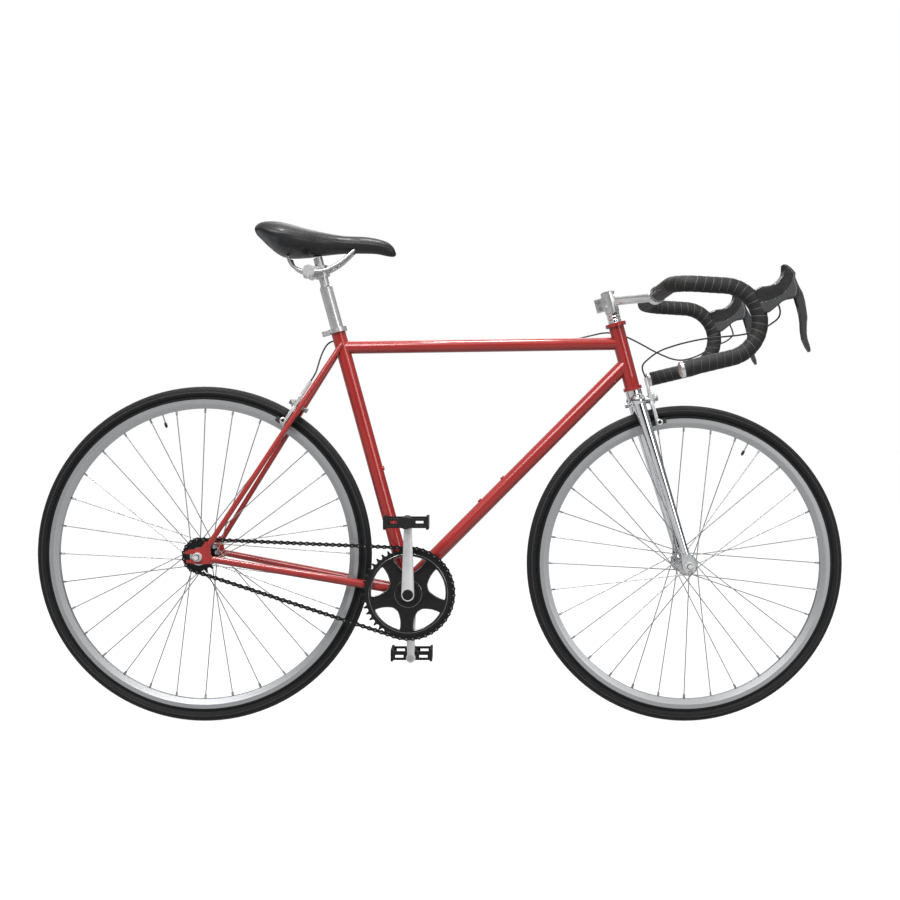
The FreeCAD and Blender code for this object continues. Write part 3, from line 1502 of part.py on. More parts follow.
def crank_outline(body):
    """Two round ends joined by straight sides."""
    root = size.crank_root_diameter / 2
    tip = size.crank_tip_diameter / 2
    tilt = math.asin((float(root) - float(tip)) / mm.crank_length)
    sketch = body.newObject("Sketcher::SketchObject", "Arm")
    sketch.AttachmentSupport = (plane_of(body, "XY_Plane"), [""])
    sketch.MapMode = "FlatFace"
    low = (root * math.cos(tilt), root * math.sin(tilt))
    high = (tip * math.cos(tilt), size.crank_length + tip * math.sin(tilt))
    right = [Vector(float(x), float(y), 0) for x, y in (low, high)]
    left = [Vector(-point.x, point.y, 0) for point in right]
    sketch.addGeometry(Part.LineSegment(*right))
    sketch.addGeometry(Part.LineSegment(*left))
    root_circle = Part.Circle(Vector(), UP, float(root))
    tip_circle = Part.Circle(Vector(0, mm.crank_length, 0), UP, float(tip))
    sketch.addGeometry(Part.ArcOfCircle(root_circle, math.pi - tilt, 2 * math.pi + tilt))
    sketch.addGeometry(Part.ArcOfCircle(tip_circle, tilt, math.pi - tilt))
    for line, end, arc, arc_end in ((1, 1, 2, 1), (0, 1, 2, 2), (0, 2, 3, 1), (1, 2, 3, 2)):
        sketch.addConstraint(Sketcher.Constraint("Coincident", line, end, arc, arc_end))
    hold_point(sketch, 2, 3, 0, 0)
    hold_point(sketch, 3, 3, 0, size.crank_length)
    for end, (x, y) in ((1, low), (2, high)):
        hold_point(sketch, 0, end, x, y)
        number = sketch.addConstraint(Sketcher.Constraint("DistanceY", -1, 1, 1, end, float(y)))
        sketch.setExpression(f"Constraints[{number}]", y.text)
    return sketch


pedal_places = {side: bracket - UP * (side * mm.crank_length) for side in (1, -1)}


def crank_arm(side, boss_diameter):
    """A crank: the right one points up, the left one down."""
    body = document.addObject("PartDesign::Body", "Crank")
    pad = body.newObject("PartDesign::Pad", "Pad")
    pad.Profile = crank_outline(body)
    pad.Midplane = True
    bind(pad, Length=size.crank_thickness)
    body.Tip = pad
    half_turn = SIDE_VIEW.multiply(Rotation(UP, 0 if side < 0 else 180))
    body.Placement = Placement(across(bracket, side * mm.crank_line), half_turn)
    boss_end = spindle_face + mm.curve_gap
    boss = rod(across(bracket, side * crank_inside), across(bracket, side * boss_end), boss_diameter)
    recess_floor = across(bracket, side * (crank_face - mm.crank_cap_height))
    recess_mouth = across(bracket, side * (crank_face + mm.crank_cap_height))
    recess = rod(recess_floor, recess_mouth, size.crank_cap_diameter + bolt_gap)
    middle = across(bracket, side * mm.crank_line)
    socket = block(middle, size.spindle_square, size.crank_thickness * 4, size.spindle_square)
    centre = pedal_places[side]
    eye_ends = across(centre, side * crank_inside), across(centre, side * crank_face)
    eye = rod(*eye_ends, size.pedal_eye_diameter)
    thread = rod(*eye_ends, size.pedal_thread_diameter + bolt_gap)
    return cut(fused(body, boss, eye), recess, socket, thread)


node("crank_arms", bunch(crank_arm(-1, size.ring_bore - bolt_gap), crank_arm(1, size.crank_root_diameter)))
CAP = (
    (0, 0), (size.crank_cap_diameter / 2, 0), (size.crank_cap_diameter / 2, size.crank_cap_height * 1.1),
    (size.crank_cap_diameter * 0.4, size.crank_cap_height * 1.5), (0, size.crank_cap_height * 1.5),
)
cap_foot = crank_face - mm.crank_cap_height
node("crank_bolts", bunch(
    turned(CAP, Placement(across(bracket, cap_foot), ACROSS)),
    turned(CAP, Placement(across(bracket, -cap_foot), SIDE_VIEW)),
))
pedal_outer = mm.pedal_line + mm.pedal_width / 2


def pedal_axle(side):
    """An axle screwed into the crank's end."""
    centre = pedal_places[side]
    flange = crank_face + mm.pedal_flange_height
    end = pedal_outer - mm.pedal_frame
    spans = (
        (crank_inside, crank_face, size.pedal_thread_diameter),
        (crank_face, flange, size.pedal_flange_diameter),
        (flange, end, size.pedal_axle_diameter),
    )
    return fused(
        *[rod(across(centre, side * near), across(centre, side * far), wide) for near, far, wide in spans]
    )


def pedal(side):
    """A platform pedal: a barrel, two windowed end frames and two toothed edge plates."""
    centre = across(pedal_places[side], side * mm.pedal_line)
    half_length = mm.pedal_length / 2
    half_width = mm.pedal_width / 2
    edge = half_length - mm.pedal_frame / 2
    side_frame = half_width - mm.pedal_frame / 2
    plain_height = size.pedal_height * 0.74
    pieces = [rod(centre - LEFT * half_width, centre + LEFT * half_width, size.pedal_barrel)]
    holes = []
    for end in (-1, 1):
        frame_centre = centre + LEFT * (end * side_frame)
        pieces.append(block(frame_centre, size.pedal_length, size.pedal_frame, plain_height))
        pieces.append(
            block(centre + Vector(end * edge, 0, 0), size.pedal_frame, size.pedal_width, plain_height)
        )
        for front in (-1, 1):
            middle = frame_centre + Vector(front * half_length * 0.58, 0, 0)
            holes.append(block(middle, size.pedal_length * 0.2, size.pedal_frame * 2, plain_height * 0.5))
        for tooth in range(-3, 4):
            spot = centre + Vector(end * edge, tooth * mm.pedal_width / 7, 0)
            pieces.append(block(spot, size.pedal_frame, size.pedal_width * 0.07, size.pedal_height))
    bore_start = centre - LEFT * (side * half_width)
    bore_end = centre + LEFT * (side * (half_width - mm.pedal_frame + mm.curve_gap))
    holes.append(rod(bore_start, bore_end, size.pedal_axle_diameter + bolt_gap))
    return cut(fused(*pieces), *holes)


node("pedal_axles", bunch(pedal_axle(1), pedal_axle(-1)))
node("right_pedal", pedal(-1))
node("left_pedal", pedal(1))

# Seat post and collar
node("seat_post", turned((
    (0, size.post_bottom), (size.post_diameter / 2, size.post_bottom),
    (size.post_diameter / 2, size.post_shoulder),
    (size.post_neck_diameter / 2, size.post_shoulder + size.post_neck_diameter * 0.3),
    (size.post_neck_diameter / 2, size.post_top), (0, size.post_top),
), Placement(bracket, Rotation(UP, seat_way))))
collar_low = mm.seat_tube_length - mm.collar_height
collar_middle = seat_point(mm.seat_tube_length - mm.collar_height / 2)
seat_behind = Vector(-seat_way.z, 0, seat_way.x)
SEAT_TURN = Rotation(LEFT, mm.seat_angle - 90)
ear_middle = collar_middle + seat_behind * (mm.collar_diameter / 2 + mm.collar_ear / 2 - mm.clamp_slit)
slit_middle = collar_middle + seat_behind * (mm.collar_diameter / 2 + mm.collar_ear / 2)
collar_bolt_spot = collar_middle + seat_behind * (mm.collar_diameter / 2 + mm.collar_ear * 0.4)
right_ear = across(collar_bolt_spot, -mm.collar_ear_width / 2)
left_ear = across(collar_bolt_spot, mm.collar_ear_width / 2)
collar = cut(
    fused(
        rod(seat_point(collar_low), seat_point(mm.seat_tube_length), size.collar_diameter),
        block(ear_middle, size.collar_ear, size.collar_ear_width, size.collar_height, SEAT_TURN),
    ),
    rod(seat_point(collar_low), seat_point(mm.seat_tube_length), size.seat_tube_diameter + bolt_gap),
    block(slit_middle, size.collar_ear * 2, size.clamp_slit, size.collar_height * 1.2, SEAT_TURN),
    rod(right_ear, left_ear, size.small_bolt_diameter + bolt_gap),
)
collar_bolt = fused(
    rod(right_ear, left_ear, size.small_bolt_diameter),
    rod(right_ear - LEFT * mm.small_head_height, right_ear, size.small_head_diameter),
    prism(left_ear, left_ear + LEFT * mm.small_head_height, size.small_head_diameter),
)
node("seat_collar", bunch(collar, collar_bolt))

# Saddle. Each row: place along the saddle, half width at the side and at the base as shares of the width,
# then the heights of the side, the crown and the base as shares of the saddle's height.
SADDLE_SHARES = (
    (0.0, 0.24, 0.17, 0.79, 0.83, 0.70),
    (0.05, 0.40, 0.34, 0.73, 0.91, 0.48),
    (0.115, 0.48, 0.42, 0.64, 0.965, 0.28),
    (0.22, 0.49, 0.42, 0.54, 0.93, 0.06),
    (0.35, 0.40, 0.33, 0.45, 0.815, 0.05),
    (0.48, 0.25, 0.19, 0.42, 0.715, 0.10),
    (0.64, 0.155, 0.115, 0.39, 0.62, 0.15),
    (0.82, 0.125, 0.09, 0.36, 0.575, 0.15),
    (0.93, 0.11, 0.08, 0.28, 0.445, 0.10),
    (1.0, 0.045, 0.03, 0.18, 0.225, 0.11),
)
saddle_start = Vector(-mm.saddle_rear, 0, mm.saddle_base)


def saddle_section(along, side_share, base_share, side_height, crown_height, base_height):
    """A closed section: the crown, the drawn-in sides and the base."""

    def spot(width_share, height_share):
        y = width_share * mm.saddle_width
        return saddle_start + Vector(along * mm.saddle_length, y, height_share * mm.saddle_height)

    middle_height = (side_height + base_height) / 2
    middle_share = (side_share + base_share) / 2 - 0.02 * side_share
    shoulder = side_height + (crown_height - side_height) * 0.78
    crown = Part.BSplineCurve()
    crown.interpolate([
        spot(-side_share, side_height), spot(-side_share * 0.66, shoulder), spot(0, crown_height),
        spot(side_share * 0.66, shoulder), spot(side_share, side_height),
    ])
    left_ends = spot(side_share, side_height), spot(middle_share, middle_height), spot(
        base_share, base_height
    )
    right_ends = spot(-base_share, base_height), spot(-middle_share, middle_height), spot(
        -side_share, side_height
    )
    base = Part.makeLine(left_ends[2], right_ends[0])
    return Part.Wire(
        [crown.toShape(), Part.Arc(*left_ends).toShape(), base, Part.Arc(*right_ends).toShape()]
    )


saddle_shape = Part.makeLoft([saddle_section(*row) for row in SADDLE_SHARES], True, False)
node("saddle", custom(saddle_shape))

# Saddle clamp and rails. Each row: forward of the clamp as a share of the saddle's length,
# then height above it and spread as shares of the rail spread.
RAIL_SHARES = (
    (-0.165, 0.95, 1.0), (-0.125, 0.25, 1.0), (-0.055, 0.0, 1.0), (0.105, 0.0, 1.0), (0.215, 0.36, 0.85),
    (0.33, 1.05, 0.55),
)
clamp_centre = seat_point(mm.clamp_height)
clamp_spot = clamp_centre - Vector(mm.clamp_setback, 0, 0)
half_rail = mm.rail_spread / 2


def rail_wire(side):
    """The centre line of one rail."""
    points = []
    for forward, height, spread in RAIL_SHARES:
        shift = Vector(forward * mm.saddle_length, side * half_rail * spread, height * mm.rail_spread)
        points.append(clamp_spot + shift)
    return rounded(points)


node("saddle_rails", bunch(*[
    cut(swept(rail_wire(side), size.rail_diameter), custom(saddle_shape)) for side in (1, -1)
]))
half_band = seat_way * (mm.clamp_band_height / 2)
disc_end = half_rail + mm.rail_disc_width / 2
clamp_bolt_end = disc_end + mm.small_head_height
clamp_bolt_line = clamp_spot - UP * (mm.rail_diameter * 1.2)
clamp_solid = fused(
    rod(clamp_centre - half_band, clamp_centre + half_band, size.clamp_band_diameter),
    block(
        clamp_spot + Vector(mm.clamp_block_length * 0.1, 0, 0),
        size.clamp_block_length, size.rail_spread * 0.6,
        size.clamp_block_height,
    ),
    rod(across(clamp_spot, -disc_end), across(clamp_spot, disc_end), size.rail_disc_diameter),
)


def clamp_bolt(diameter, half_length):
    """A bar across the clamp under the rails."""
    return rod(across(clamp_bolt_line, -half_length), across(clamp_bolt_line, half_length), diameter)


clamp_body = cut(
    clamp_solid,
    rod(seat_point(mm.post_shoulder), seat_point(mm.post_top), size.post_neck_diameter + bolt_gap),
    swept(rail_wire(1), size.rail_diameter + bolt_gap), swept(rail_wire(-1), size.rail_diameter + bolt_gap),
    clamp_bolt(size.small_bolt_diameter + bolt_gap, clamp_bolt_end),
)
clamp_heads = [
    prism(
        across(clamp_bolt_line, side * disc_end),
        across(clamp_bolt_line, side * clamp_bolt_end), size.small_head_diameter
    )
    for side in (1, -1)
]
node(
    "saddle_clamp",
    bunch(clamp_body, fused(clamp_bolt(size.small_bolt_diameter, clamp_bolt_end), *clamp_heads))
)

# Brake cables: straight runs and tangent arcs from the lever bodies to the calipers.
# Each row: forward of the hood's corner, to the side and above it as shares of the bar's width.
LEVER_LOOP_SHARES = (
    (0.112, 0.5, 0.066), (0.126, 0.5, 0.032), (0.134, 0.49, 0.006),
    (0.132, 0.462, -0.018), (0.088, 0.42, -0.054),
    (0.008, 0.36, -0.082),
)
FRONT_CABLE_SHARES = (
    (-0.09, 0.288, -0.087), (-0.165, 0.238, -0.092), (-0.252, 0.178, -0.108), (-0.36, 0.115, -0.142),
)
REAR_CABLE_SHARES = (
    (-0.09, 0.29, -0.142), (-0.205, 0.2, -0.172), (-0.315, 0.14, -0.136), (-0.415, 0.088, -0.088),
    (-0.49, 0.066, -0.054), (-0.575, 0.06, -0.034), (-0.665, 0.056, -0.054),
)


def cable_points(shares, side):
    """Places on a cable from its shares of the bar's width."""
    return [
        hood_corner + Vector(forward, side * spread, height) * mm.bar_width
        for forward, spread, height in shares
    ]


def hood_outer(side):
    """The hood's wide part, to end a cable on."""
    place = Placement(across(hood_corner, side * half_bar), SIDE_VIEW)
    return plate(sharesof(size.hood_length, size.hood_height, HOOD_SHARES), size.hood_width, place)


front_rise_share = 0.8
rear_rise_share = 0.45
front_end = front_adjuster + steer_way * mm.curve_gap
front_points = cable_points(LEVER_LOOP_SHARES, -1) + cable_points(FRONT_CABLE_SHARES, -1)
front_rise = steer_way * (mm.front_adjuster_length * front_rise_share) - steer_ahead * mm.cable_diameter
front_points += [front_end + front_rise, front_end]
front_wire = rounded(front_points)
node("front_brake_cable", cut(swept(front_wire, size.cable_diameter), hood_outer(-1)))

top_way = (top_rear - top_front).normalize()
cable_side = mm.top_tube_diameter / 2 + mm.cable_diameter * 0.65
top_run_start = across(top_front + top_way * (mm.head_tube_length * 1.1), cable_side)
top_run_end = across(top_rear - top_way * (mm.seat_tube_diameter * 1.9), cable_side)
rear_end = rear_adjuster + bridge_up * mm.curve_gap
tube_radius_outside = mm.seat_tube_diameter / 2 + mm.cable_diameter * 1.5
seat_side = top_rear + Vector(mm.cable_diameter * 2, tube_radius_outside, mm.cable_diameter * 5)
seat_behind_spot = top_rear + Vector(
    -mm.seat_tube_diameter, mm.seat_tube_diameter * 0.45, mm.cable_diameter * 4.6
)
rear_drop = top_rear + Vector(-mm.seat_tube_diameter * 1.45, -mm.cable_diameter, -mm.cable_diameter * 4.0)
rear_points = cable_points(LEVER_LOOP_SHARES, 1) + cable_points(REAR_CABLE_SHARES, 1)
rear_points += [top_run_start, top_run_end, seat_side, seat_behind_spot, rear_drop]
rear_points += [rear_end + bridge_up * (mm.rear_adjuster_length * rear_rise_share), rear_end]
rear_wire = rounded(rear_points)
node("rear_brake_cable", cut(swept(rear_wire, size.cable_diameter), hood_outer(1)))

# Fittings: threaded bosses, the pump peg and clips that hold the rear cable to the top tube
bosses = []
for foot, way, radius in boss_places():
    outside = boss_rod(foot, way, radius, size.boss_diameter)
    bosses.append(cut(outside, boss_rod(foot, way, radius, size.boss_bore, mm.boss_proud)))
clips = []
for share in (0.1, 0.5, 0.9):
    spot = top_run_start + (top_run_end - top_run_start) * share
    half_clip = top_way * (mm.clip_length / 2)
    hole = rod(spot - half_clip * 2, spot + half_clip * 2, size.cable_diameter + bolt_gap)
    clips.append(cut(
        rod(spot - half_clip, spot + half_clip, size.clip_diameter),
        hole, rod(top_front, top_rear, size.top_tube_diameter)
    ))
node("frame_fittings", bunch(*bosses, *clips))

# Check every object, then write each node
document.recompute()
for item in document.Objects:
    bad = [state for state in item.State if state in ("Invalid", "Error")]
    if bad:
        raise ValueError(f"{item.Name} ({item.Label}) is {bad}")
os.makedirs("parts", exist_ok=True)
for label, item in nodes.items():
    shape = item.Shape
    if shape.isNull() or not shape.isValid() or not shape.Solids:
        raise ValueError(f"{label} has no sound shape")
    shape.exportStep(f"parts/{label}.step")
for title, wire in (("front cable", front_wire), ("rear cable", rear_wire), ("rail", rail_wire(1))):
    radii = [round(edge.Curve.Radius, 1) for edge in wire.Edges if hasattr(edge.Curve, "Radius")]
    print(f"{title}: length {wire.Length:.1f}, bend radii {radii}")
for label in ("front_brake_cable", "rear_brake_cable"):
    volume = nodes[label].Shape.Volume
    print(f"{label}: volume {volume:.1f}")
print(f"{len(nodes)} nodes written")
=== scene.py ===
import json
import math

import bmesh
import bpy
import numpy as np
from mathutils import Matrix, Vector

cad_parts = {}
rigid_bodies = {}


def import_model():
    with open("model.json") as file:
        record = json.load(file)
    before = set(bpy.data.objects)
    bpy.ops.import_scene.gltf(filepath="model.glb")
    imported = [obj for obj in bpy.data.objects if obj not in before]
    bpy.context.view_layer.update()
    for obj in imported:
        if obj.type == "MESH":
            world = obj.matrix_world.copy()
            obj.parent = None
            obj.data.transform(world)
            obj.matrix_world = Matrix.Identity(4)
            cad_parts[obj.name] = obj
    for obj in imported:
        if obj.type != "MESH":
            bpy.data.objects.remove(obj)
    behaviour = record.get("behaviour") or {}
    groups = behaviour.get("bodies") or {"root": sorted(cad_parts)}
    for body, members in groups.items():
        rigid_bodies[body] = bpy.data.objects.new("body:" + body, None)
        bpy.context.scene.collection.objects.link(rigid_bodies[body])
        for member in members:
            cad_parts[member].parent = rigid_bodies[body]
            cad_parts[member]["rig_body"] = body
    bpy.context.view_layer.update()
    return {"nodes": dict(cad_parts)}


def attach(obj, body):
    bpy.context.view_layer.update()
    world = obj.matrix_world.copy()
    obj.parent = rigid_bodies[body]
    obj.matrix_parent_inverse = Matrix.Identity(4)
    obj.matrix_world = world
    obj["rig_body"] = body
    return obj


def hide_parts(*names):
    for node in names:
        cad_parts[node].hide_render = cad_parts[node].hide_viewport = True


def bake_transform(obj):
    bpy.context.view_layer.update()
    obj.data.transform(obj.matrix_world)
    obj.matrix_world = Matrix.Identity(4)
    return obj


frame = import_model()
NODES = frame["nodes"]

bl_info = {
    "name": "Fixed gear bicycle looks",
    "version": (1, 0, 0),
    "blender": (4, 5, 0),
    "location": "3D View > Sidebar > Bicycle",
    "description": "Finishes, saddle, bar tape, cables and studio of the bicycle",
    "category": "Object",
}

# Places shared with the solids, in metres: +X forward, +Y left, +Z up
FRONT_AXLE = Vector((0.4885, 0, 0.315))
REAR_AXLE = Vector((-0.4695, 0, 0.334))
BRACKET = Vector((-0.06091, 0, 0.26))
# Each wheel's axle, outer radius and the radius of the pale line on its tyre
WHEELS = {"front": (FRONT_AXLE, 0.315, 0.305), "rear": (REAR_AXLE, 0.334, 0.3225)}
BAR_CENTRE = Vector((0.433453, 0, 0.850595))
BAR_HALF = 0.205
BAR_CORNER = 0.045
BAR_REACH = 0.0942
RAMP_SLOPE = math.radians(3.5)
HOOK_RADIUS = 0.067
DROP_SLOPE = math.radians(13.5)
DROP_END = Vector((0.451453, 0, 0.6918))
HOOD_CORNER = Vector((0.574487, 0, 0.79347))
SADDLE_START = Vector((-0.3675, 0, 0.922))
SADDLE_SIZE = Vector((0.280, 0.142, 0.075))

# The chain's line round both sprockets
CHAIN_PLANE = -0.042
CHAIN_PITCH = 0.0127
CHAIN_LINKS = 96
RING_TEETH = 44
COG_TEETH = 16
RING_RADIUS = CHAIN_PITCH / (2 * math.sin(math.pi / RING_TEETH))
COG_RADIUS = CHAIN_PITCH / (2 * math.sin(math.pi / COG_TEETH))
CHAIN_WAY = REAR_AXLE - BRACKET
CHAIN_RUN = math.atan2(CHAIN_WAY.z, CHAIN_WAY.x)
CHAIN_LEAN = math.asin((RING_RADIUS - COG_RADIUS) / CHAIN_WAY.length)
UPPER_TURN = CHAIN_RUN - (math.pi / 2 - CHAIN_LEAN)
LOWER_TURN = CHAIN_RUN + (math.pi / 2 - CHAIN_LEAN)

# Points closer than this are joined
JOIN = 1e-6


# Shader values


def maths(operation, swapped=False):
    """A method that adds a maths node."""

    def method(self, *others):
        values = (*others, self) if swapped else (self, *others)
        return self.node("ShaderNodeMath", dict(enumerate(values)), operation=operation)

    return method


class Flow:
    """A socket in a node tree; the usual operators add maths nodes."""

    __add__ = __radd__ = maths("ADD")
    __sub__ = maths("SUBTRACT")
    __rsub__ = maths("SUBTRACT", swapped=True)
    __mul__ = maths("MULTIPLY")
    __truediv__ = maths("DIVIDE")
    __pow__ = maths("POWER")
    __abs__ = maths("ABSOLUTE")
    sine = maths("SINE")
    angle = maths("ARCTAN2")

    def __init__(self, tree, socket=None):
        self.tree = tree
        self.socket = socket

    def node(self, kind, inputs=None, output=0, **settings):
        """Adds a node, sets or links its inputs by name or number, and returns one output."""
        made = self.tree.nodes.new(kind)
        for key, value in settings.items():
            setattr(made, key, value)
        for key, value in (inputs or {}).items():
            if isinstance(value, Flow):
                self.tree.links.new(value.socket, made.inputs[key])
            else:
                made.inputs[key].default_value = value
        return Flow(self.tree, made.outputs[output])

    def step(self, low, high):
        """0 below low, 1 above high, smooth between."""
        inputs = {"Value": self, "From Min": low, "From Max": high}
        return self.node("ShaderNodeMapRange", inputs, interpolation_type="SMOOTHSTEP")

    def band(self, middle, half, soft):
        """1 inside a band about a middle value, 0 outside."""
        return 1.0 - abs(self - middle).step(half, half + soft)

    def mix(self, low, high):
        """A colour between two, by this value."""
        inputs = {"Factor": self, 6: colour(low), 7: colour(high)}
        return self.node("ShaderNodeMix", inputs, output=2, data_type="RGBA")

    def part(self, axis):
        """One axis of a vector."""
        return self.node("ShaderNodeSeparateXYZ", {"Vector": self}, output="XYZ".index(axis))

    def ray(self, kind):
        """1 for light of one kind, such as Is Camera Ray."""
        return self.node("ShaderNodeLightPath", output=kind)


def colour(value):
    """A colour from a grey level or from three shares; a flow stays as it is."""
    if isinstance(value, Flow):
        return value
    return (*value, 1) if isinstance(value, tuple) else (value, value, value, 1)


class Finish:
    """A material under construction, with its coordinates and its one surface shader."""

    def __init__(self, name):
        self.material = bpy.data.materials.new(name)
        self.material.use_nodes = True
        self.tree = self.material.node_tree
        self.shader = self.tree.nodes["Principled BSDF"]
        self.start = Flow(self.tree)
        self.place = self.start.node("ShaderNodeTexCoord", output="Object")

    def vector(self, operation, *values, output=0):
        return self.start.node("ShaderNodeVectorMath", dict(enumerate(values)), output, operation=operation)

    def stretched(self, scale, centre=(0, 0, 0)):
        """The object coordinates moved to a centre and scaled along each axis."""
        return self.vector("MULTIPLY", self.vector("SUBTRACT", self.place, tuple(centre)), scale)

    def noise(self, scale, detail=3.0, roughness=0.5, vector=None):
        inputs = {"Vector": vector or self.place, "Scale": scale, "Detail": detail, "Roughness": roughness}
        return self.start.node("ShaderNodeTexNoise", inputs)

    def cells(self, scale):
        return self.start.node("ShaderNodeTexVoronoi", {"Vector": self.place, "Scale": scale})

    def attribute(self, name):
        return self.start.node("ShaderNodeAttribute", output="Fac", attribute_name=name)

    def radius(self, centre):
        """Distance from an axle that runs across the bicycle."""
        return self.vector("LENGTH", self.stretched((1, 0, 1), centre), output="Value")

    def angle(self, centre):
        """Angle about an axle that runs across the bicycle, in radians."""
        spot = self.stretched((1, 1, 1), centre)
        return spot.part("Z").angle(spot.part("X"))

    def set(self, **values):
        """Sets or links inputs of the surface shader by their names."""
        for name, value in values.items():
            socket = self.shader.inputs[name.replace("_", " ").title()]
            if isinstance(value, Flow):
                self.tree.links.new(value.socket, socket)
            else:
                socket.default_value = value
        return self

    def dull(self, level):
        """Weaker mirror light than plain plastic."""
        self.shader.inputs["Specular IOR Level"].default_value = level
        return self

    def bump(self, height, distance):
        """Small relief, in metres; it ends the material."""
        relief = self.start.node("ShaderNodeBump", {"Height": height, "Distance": distance, "Strength": 1.0})
        self.set(normal=relief)
        return self.material


# Materials


def red_paint():
    finish = Finish("red_paint")
    peel = finish.noise(900.0, 2.0)
    drift = finish.noise(6.0)
    tone = drift.step(0.35, 0.7).mix((0.33, 0.014, 0.011), (0.37, 0.018, 0.014))
    finish.set(base_color=tone, roughness=0.3 + drift * 0.12, coat_weight=0.9, coat_roughness=0.03)
    return finish.dull(0.3).bump(peel, 0.0000015)


def chrome():
    finish = Finish("chrome_plate")
    smudge = finish.noise(22.0, 5.0, 0.65)
    tone = smudge.step(0.4, 0.75).mix((0.72, 0.74, 0.76), (0.60, 0.62, 0.64))
    finish.set(base_color=tone, metallic=1.0, roughness=0.07 + smudge.step(0.45, 0.8) * 0.1)
    return finish.bump(finish.noise(350.0), 0.00002)


def silver(name, shade=0.72, rough=0.2, grain=(40.0, 700.0, 40.0), metallic=1.0, crown=None):
    """Bright alloy; a crown radius rounds the faces of the upright crank arms."""
    finish = Finish(name)
    brushed = finish.noise(1.0, 4.0, vector=finish.stretched(grain))
    smudge = finish.noise(30.0, 4.0)
    tone = smudge.step(0.35, 0.75).mix(shade, shade * 0.86)
    finish.set(base_color=tone, metallic=metallic, roughness=rough + brushed * 0.12 + smudge * 0.08)
    relief = brushed * 0.00003
    if crown:
        relief = relief - (finish.stretched((1, 1, 1), BRACKET).part("X") ** 2.0) / (2 * crown)
    return finish.bump(relief, 1.0)


def rim_metal(name, axle, outer):
    """Satin rim with a slightly brighter brake track, under the tyre's dark foot."""
    finish = Finish(name)
    radius = finish.radius(axle)
    haze = finish.noise(14.0, 4.0)
    grain = finish.noise(260.0)
    track = radius.band(outer - 0.0305, 0.0055, 0.0008)
    tone = (track * 0.5 + haze * 0.5).mix((0.40, 0.41, 0.42), (0.45, 0.46, 0.47))
    foot = radius.step(outer - 0.0262, outer - 0.0256)
    finish.set(base_color=foot.mix(tone, 0.008), metallic=0.9 - foot * 0.9)
    finish.set(roughness=0.42 + haze * 0.06 - track * 0.03)
    return finish.dull(0.25).bump(grain, 0.000004)


def axle_steel(name, axle):
    """Bright axle end and nut, with a band of painted shade round each."""
    finish = Finish(name)
    radius = finish.radius(axle)
    fine = finish.noise(160.0, 4.0)
    # painted shade: dark bands at the edges of the axle end and of the nut
    line = radius.band(0.0052, 0.0005, 0.0004) + radius.band(0.0098, 0.0004, 0.0004)
    shade = fine.step(0.3, 0.75).mix(0.9, 0.8)
    finish.set(base_color=line.mix(shade, 0.10), metallic=0.5, roughness=0.2 + fine * 0.12)
    return finish.bump(fine - line * 2.0, 0.00003)


def tyre(name, axle, outer, line):
    """Dark rubber with a moulded tread and a pale line on each wall."""
    finish = Finish(name)
    radius = finish.radius(axle)
    slant = (finish.angle(axle) * 420.0 + abs(finish.place.part("Y")) * 900.0).sine()
    tread = radius.step(outer - 0.0075, outer - 0.004)
    dust = finish.noise(55.0, 5.0, 0.6)
    wall = (radius * 5200.0).sine()
    rubber = dust.step(0.35, 0.8).mix((0.007, 0.007, 0.0075), (0.012, 0.012, 0.0125))
    worn = (tread * dust).mix(rubber, (0.024, 0.024, 0.025))
    pale = radius.band(line, 0.0006, 0.0005)
    finish.set(base_color=pale.mix(worn, (0.045, 0.045, 0.046)), roughness=0.46 + dust * 0.2)
    return finish.dull(0.25).bump(slant * tread + wall * (1.0 - tread) * 0.3 + dust * 0.4, 0.0003)


def plain(name, scale, detail, top, tones, rough, spread, relief, metallic=0.0):
    """One even substance: a fine noise moves its tone, its relief and, with a spread, its roughness."""
    finish = Finish(name)
    fine = finish.noise(scale, detail)
    finish.set(base_color=fine.step(0.3, top).mix(*tones), metallic=metallic)
    finish.set(roughness=rough + fine * spread if spread else rough)
    return finish.bump(fine, relief)


def steel(name, shade=0.55, rough=0.22):
    return plain(name, 160.0, 4.0, 0.75, (shade, shade * 0.75), rough, 0.15, 0.00003, 1.0)


def black_metal(name, shade=0.008, shine=0.32, metallic=0.3):
    """Black finish, worn lighter in small patches."""
    finish = Finish(name)
    wear = finish.noise(120.0, 6.0, 0.65)
    grain = finish.noise(700.0, 2.0)
    tone = wear.step(0.58, 0.72).mix(shade, shade * 2.6)
    finish.set(base_color=tone, metallic=metallic, roughness=shine + wear * 0.15, coat_weight=0.15)
    return finish.dull(0.3).bump(grain, 0.00005)


def hood_cover():
    """Glossy rubber above a plain grey lever body, with a groove between them."""
    finish = Finish("hood_cover")
    below = finish.attribute("below")
    pores = finish.cells(1400.0)
    marks = finish.noise(60.0, 4.0)
    bare = below.step(-0.0003, 0.0003)
    rubber = marks.step(0.35, 0.75).mix(0.014, 0.022)
    body = marks.step(0.35, 0.75).mix((0.040, 0.041, 0.043), (0.048, 0.049, 0.052))
    finish.set(base_color=bare.mix(rubber, body), roughness=0.2 + marks * 0.1 + bare * 0.2, coat_weight=0.4)
    groove = below.band(0.0, 0.0004, 0.0006)
    return finish.bump(pores * 0.1 + marks * 0.15 - groove * 3.0, 0.0002)


def soft_rubber(name, shade):
    finish = Finish(name)
    pores = finish.cells(1400.0)
    marks = finish.noise(60.0, 4.0)
    finish.set(base_color=marks.step(0.35, 0.75).mix(shade, shade * 1.5), roughness=0.5 + marks * 0.2)
    return finish.bump(pores + marks * 0.5, 0.00015)


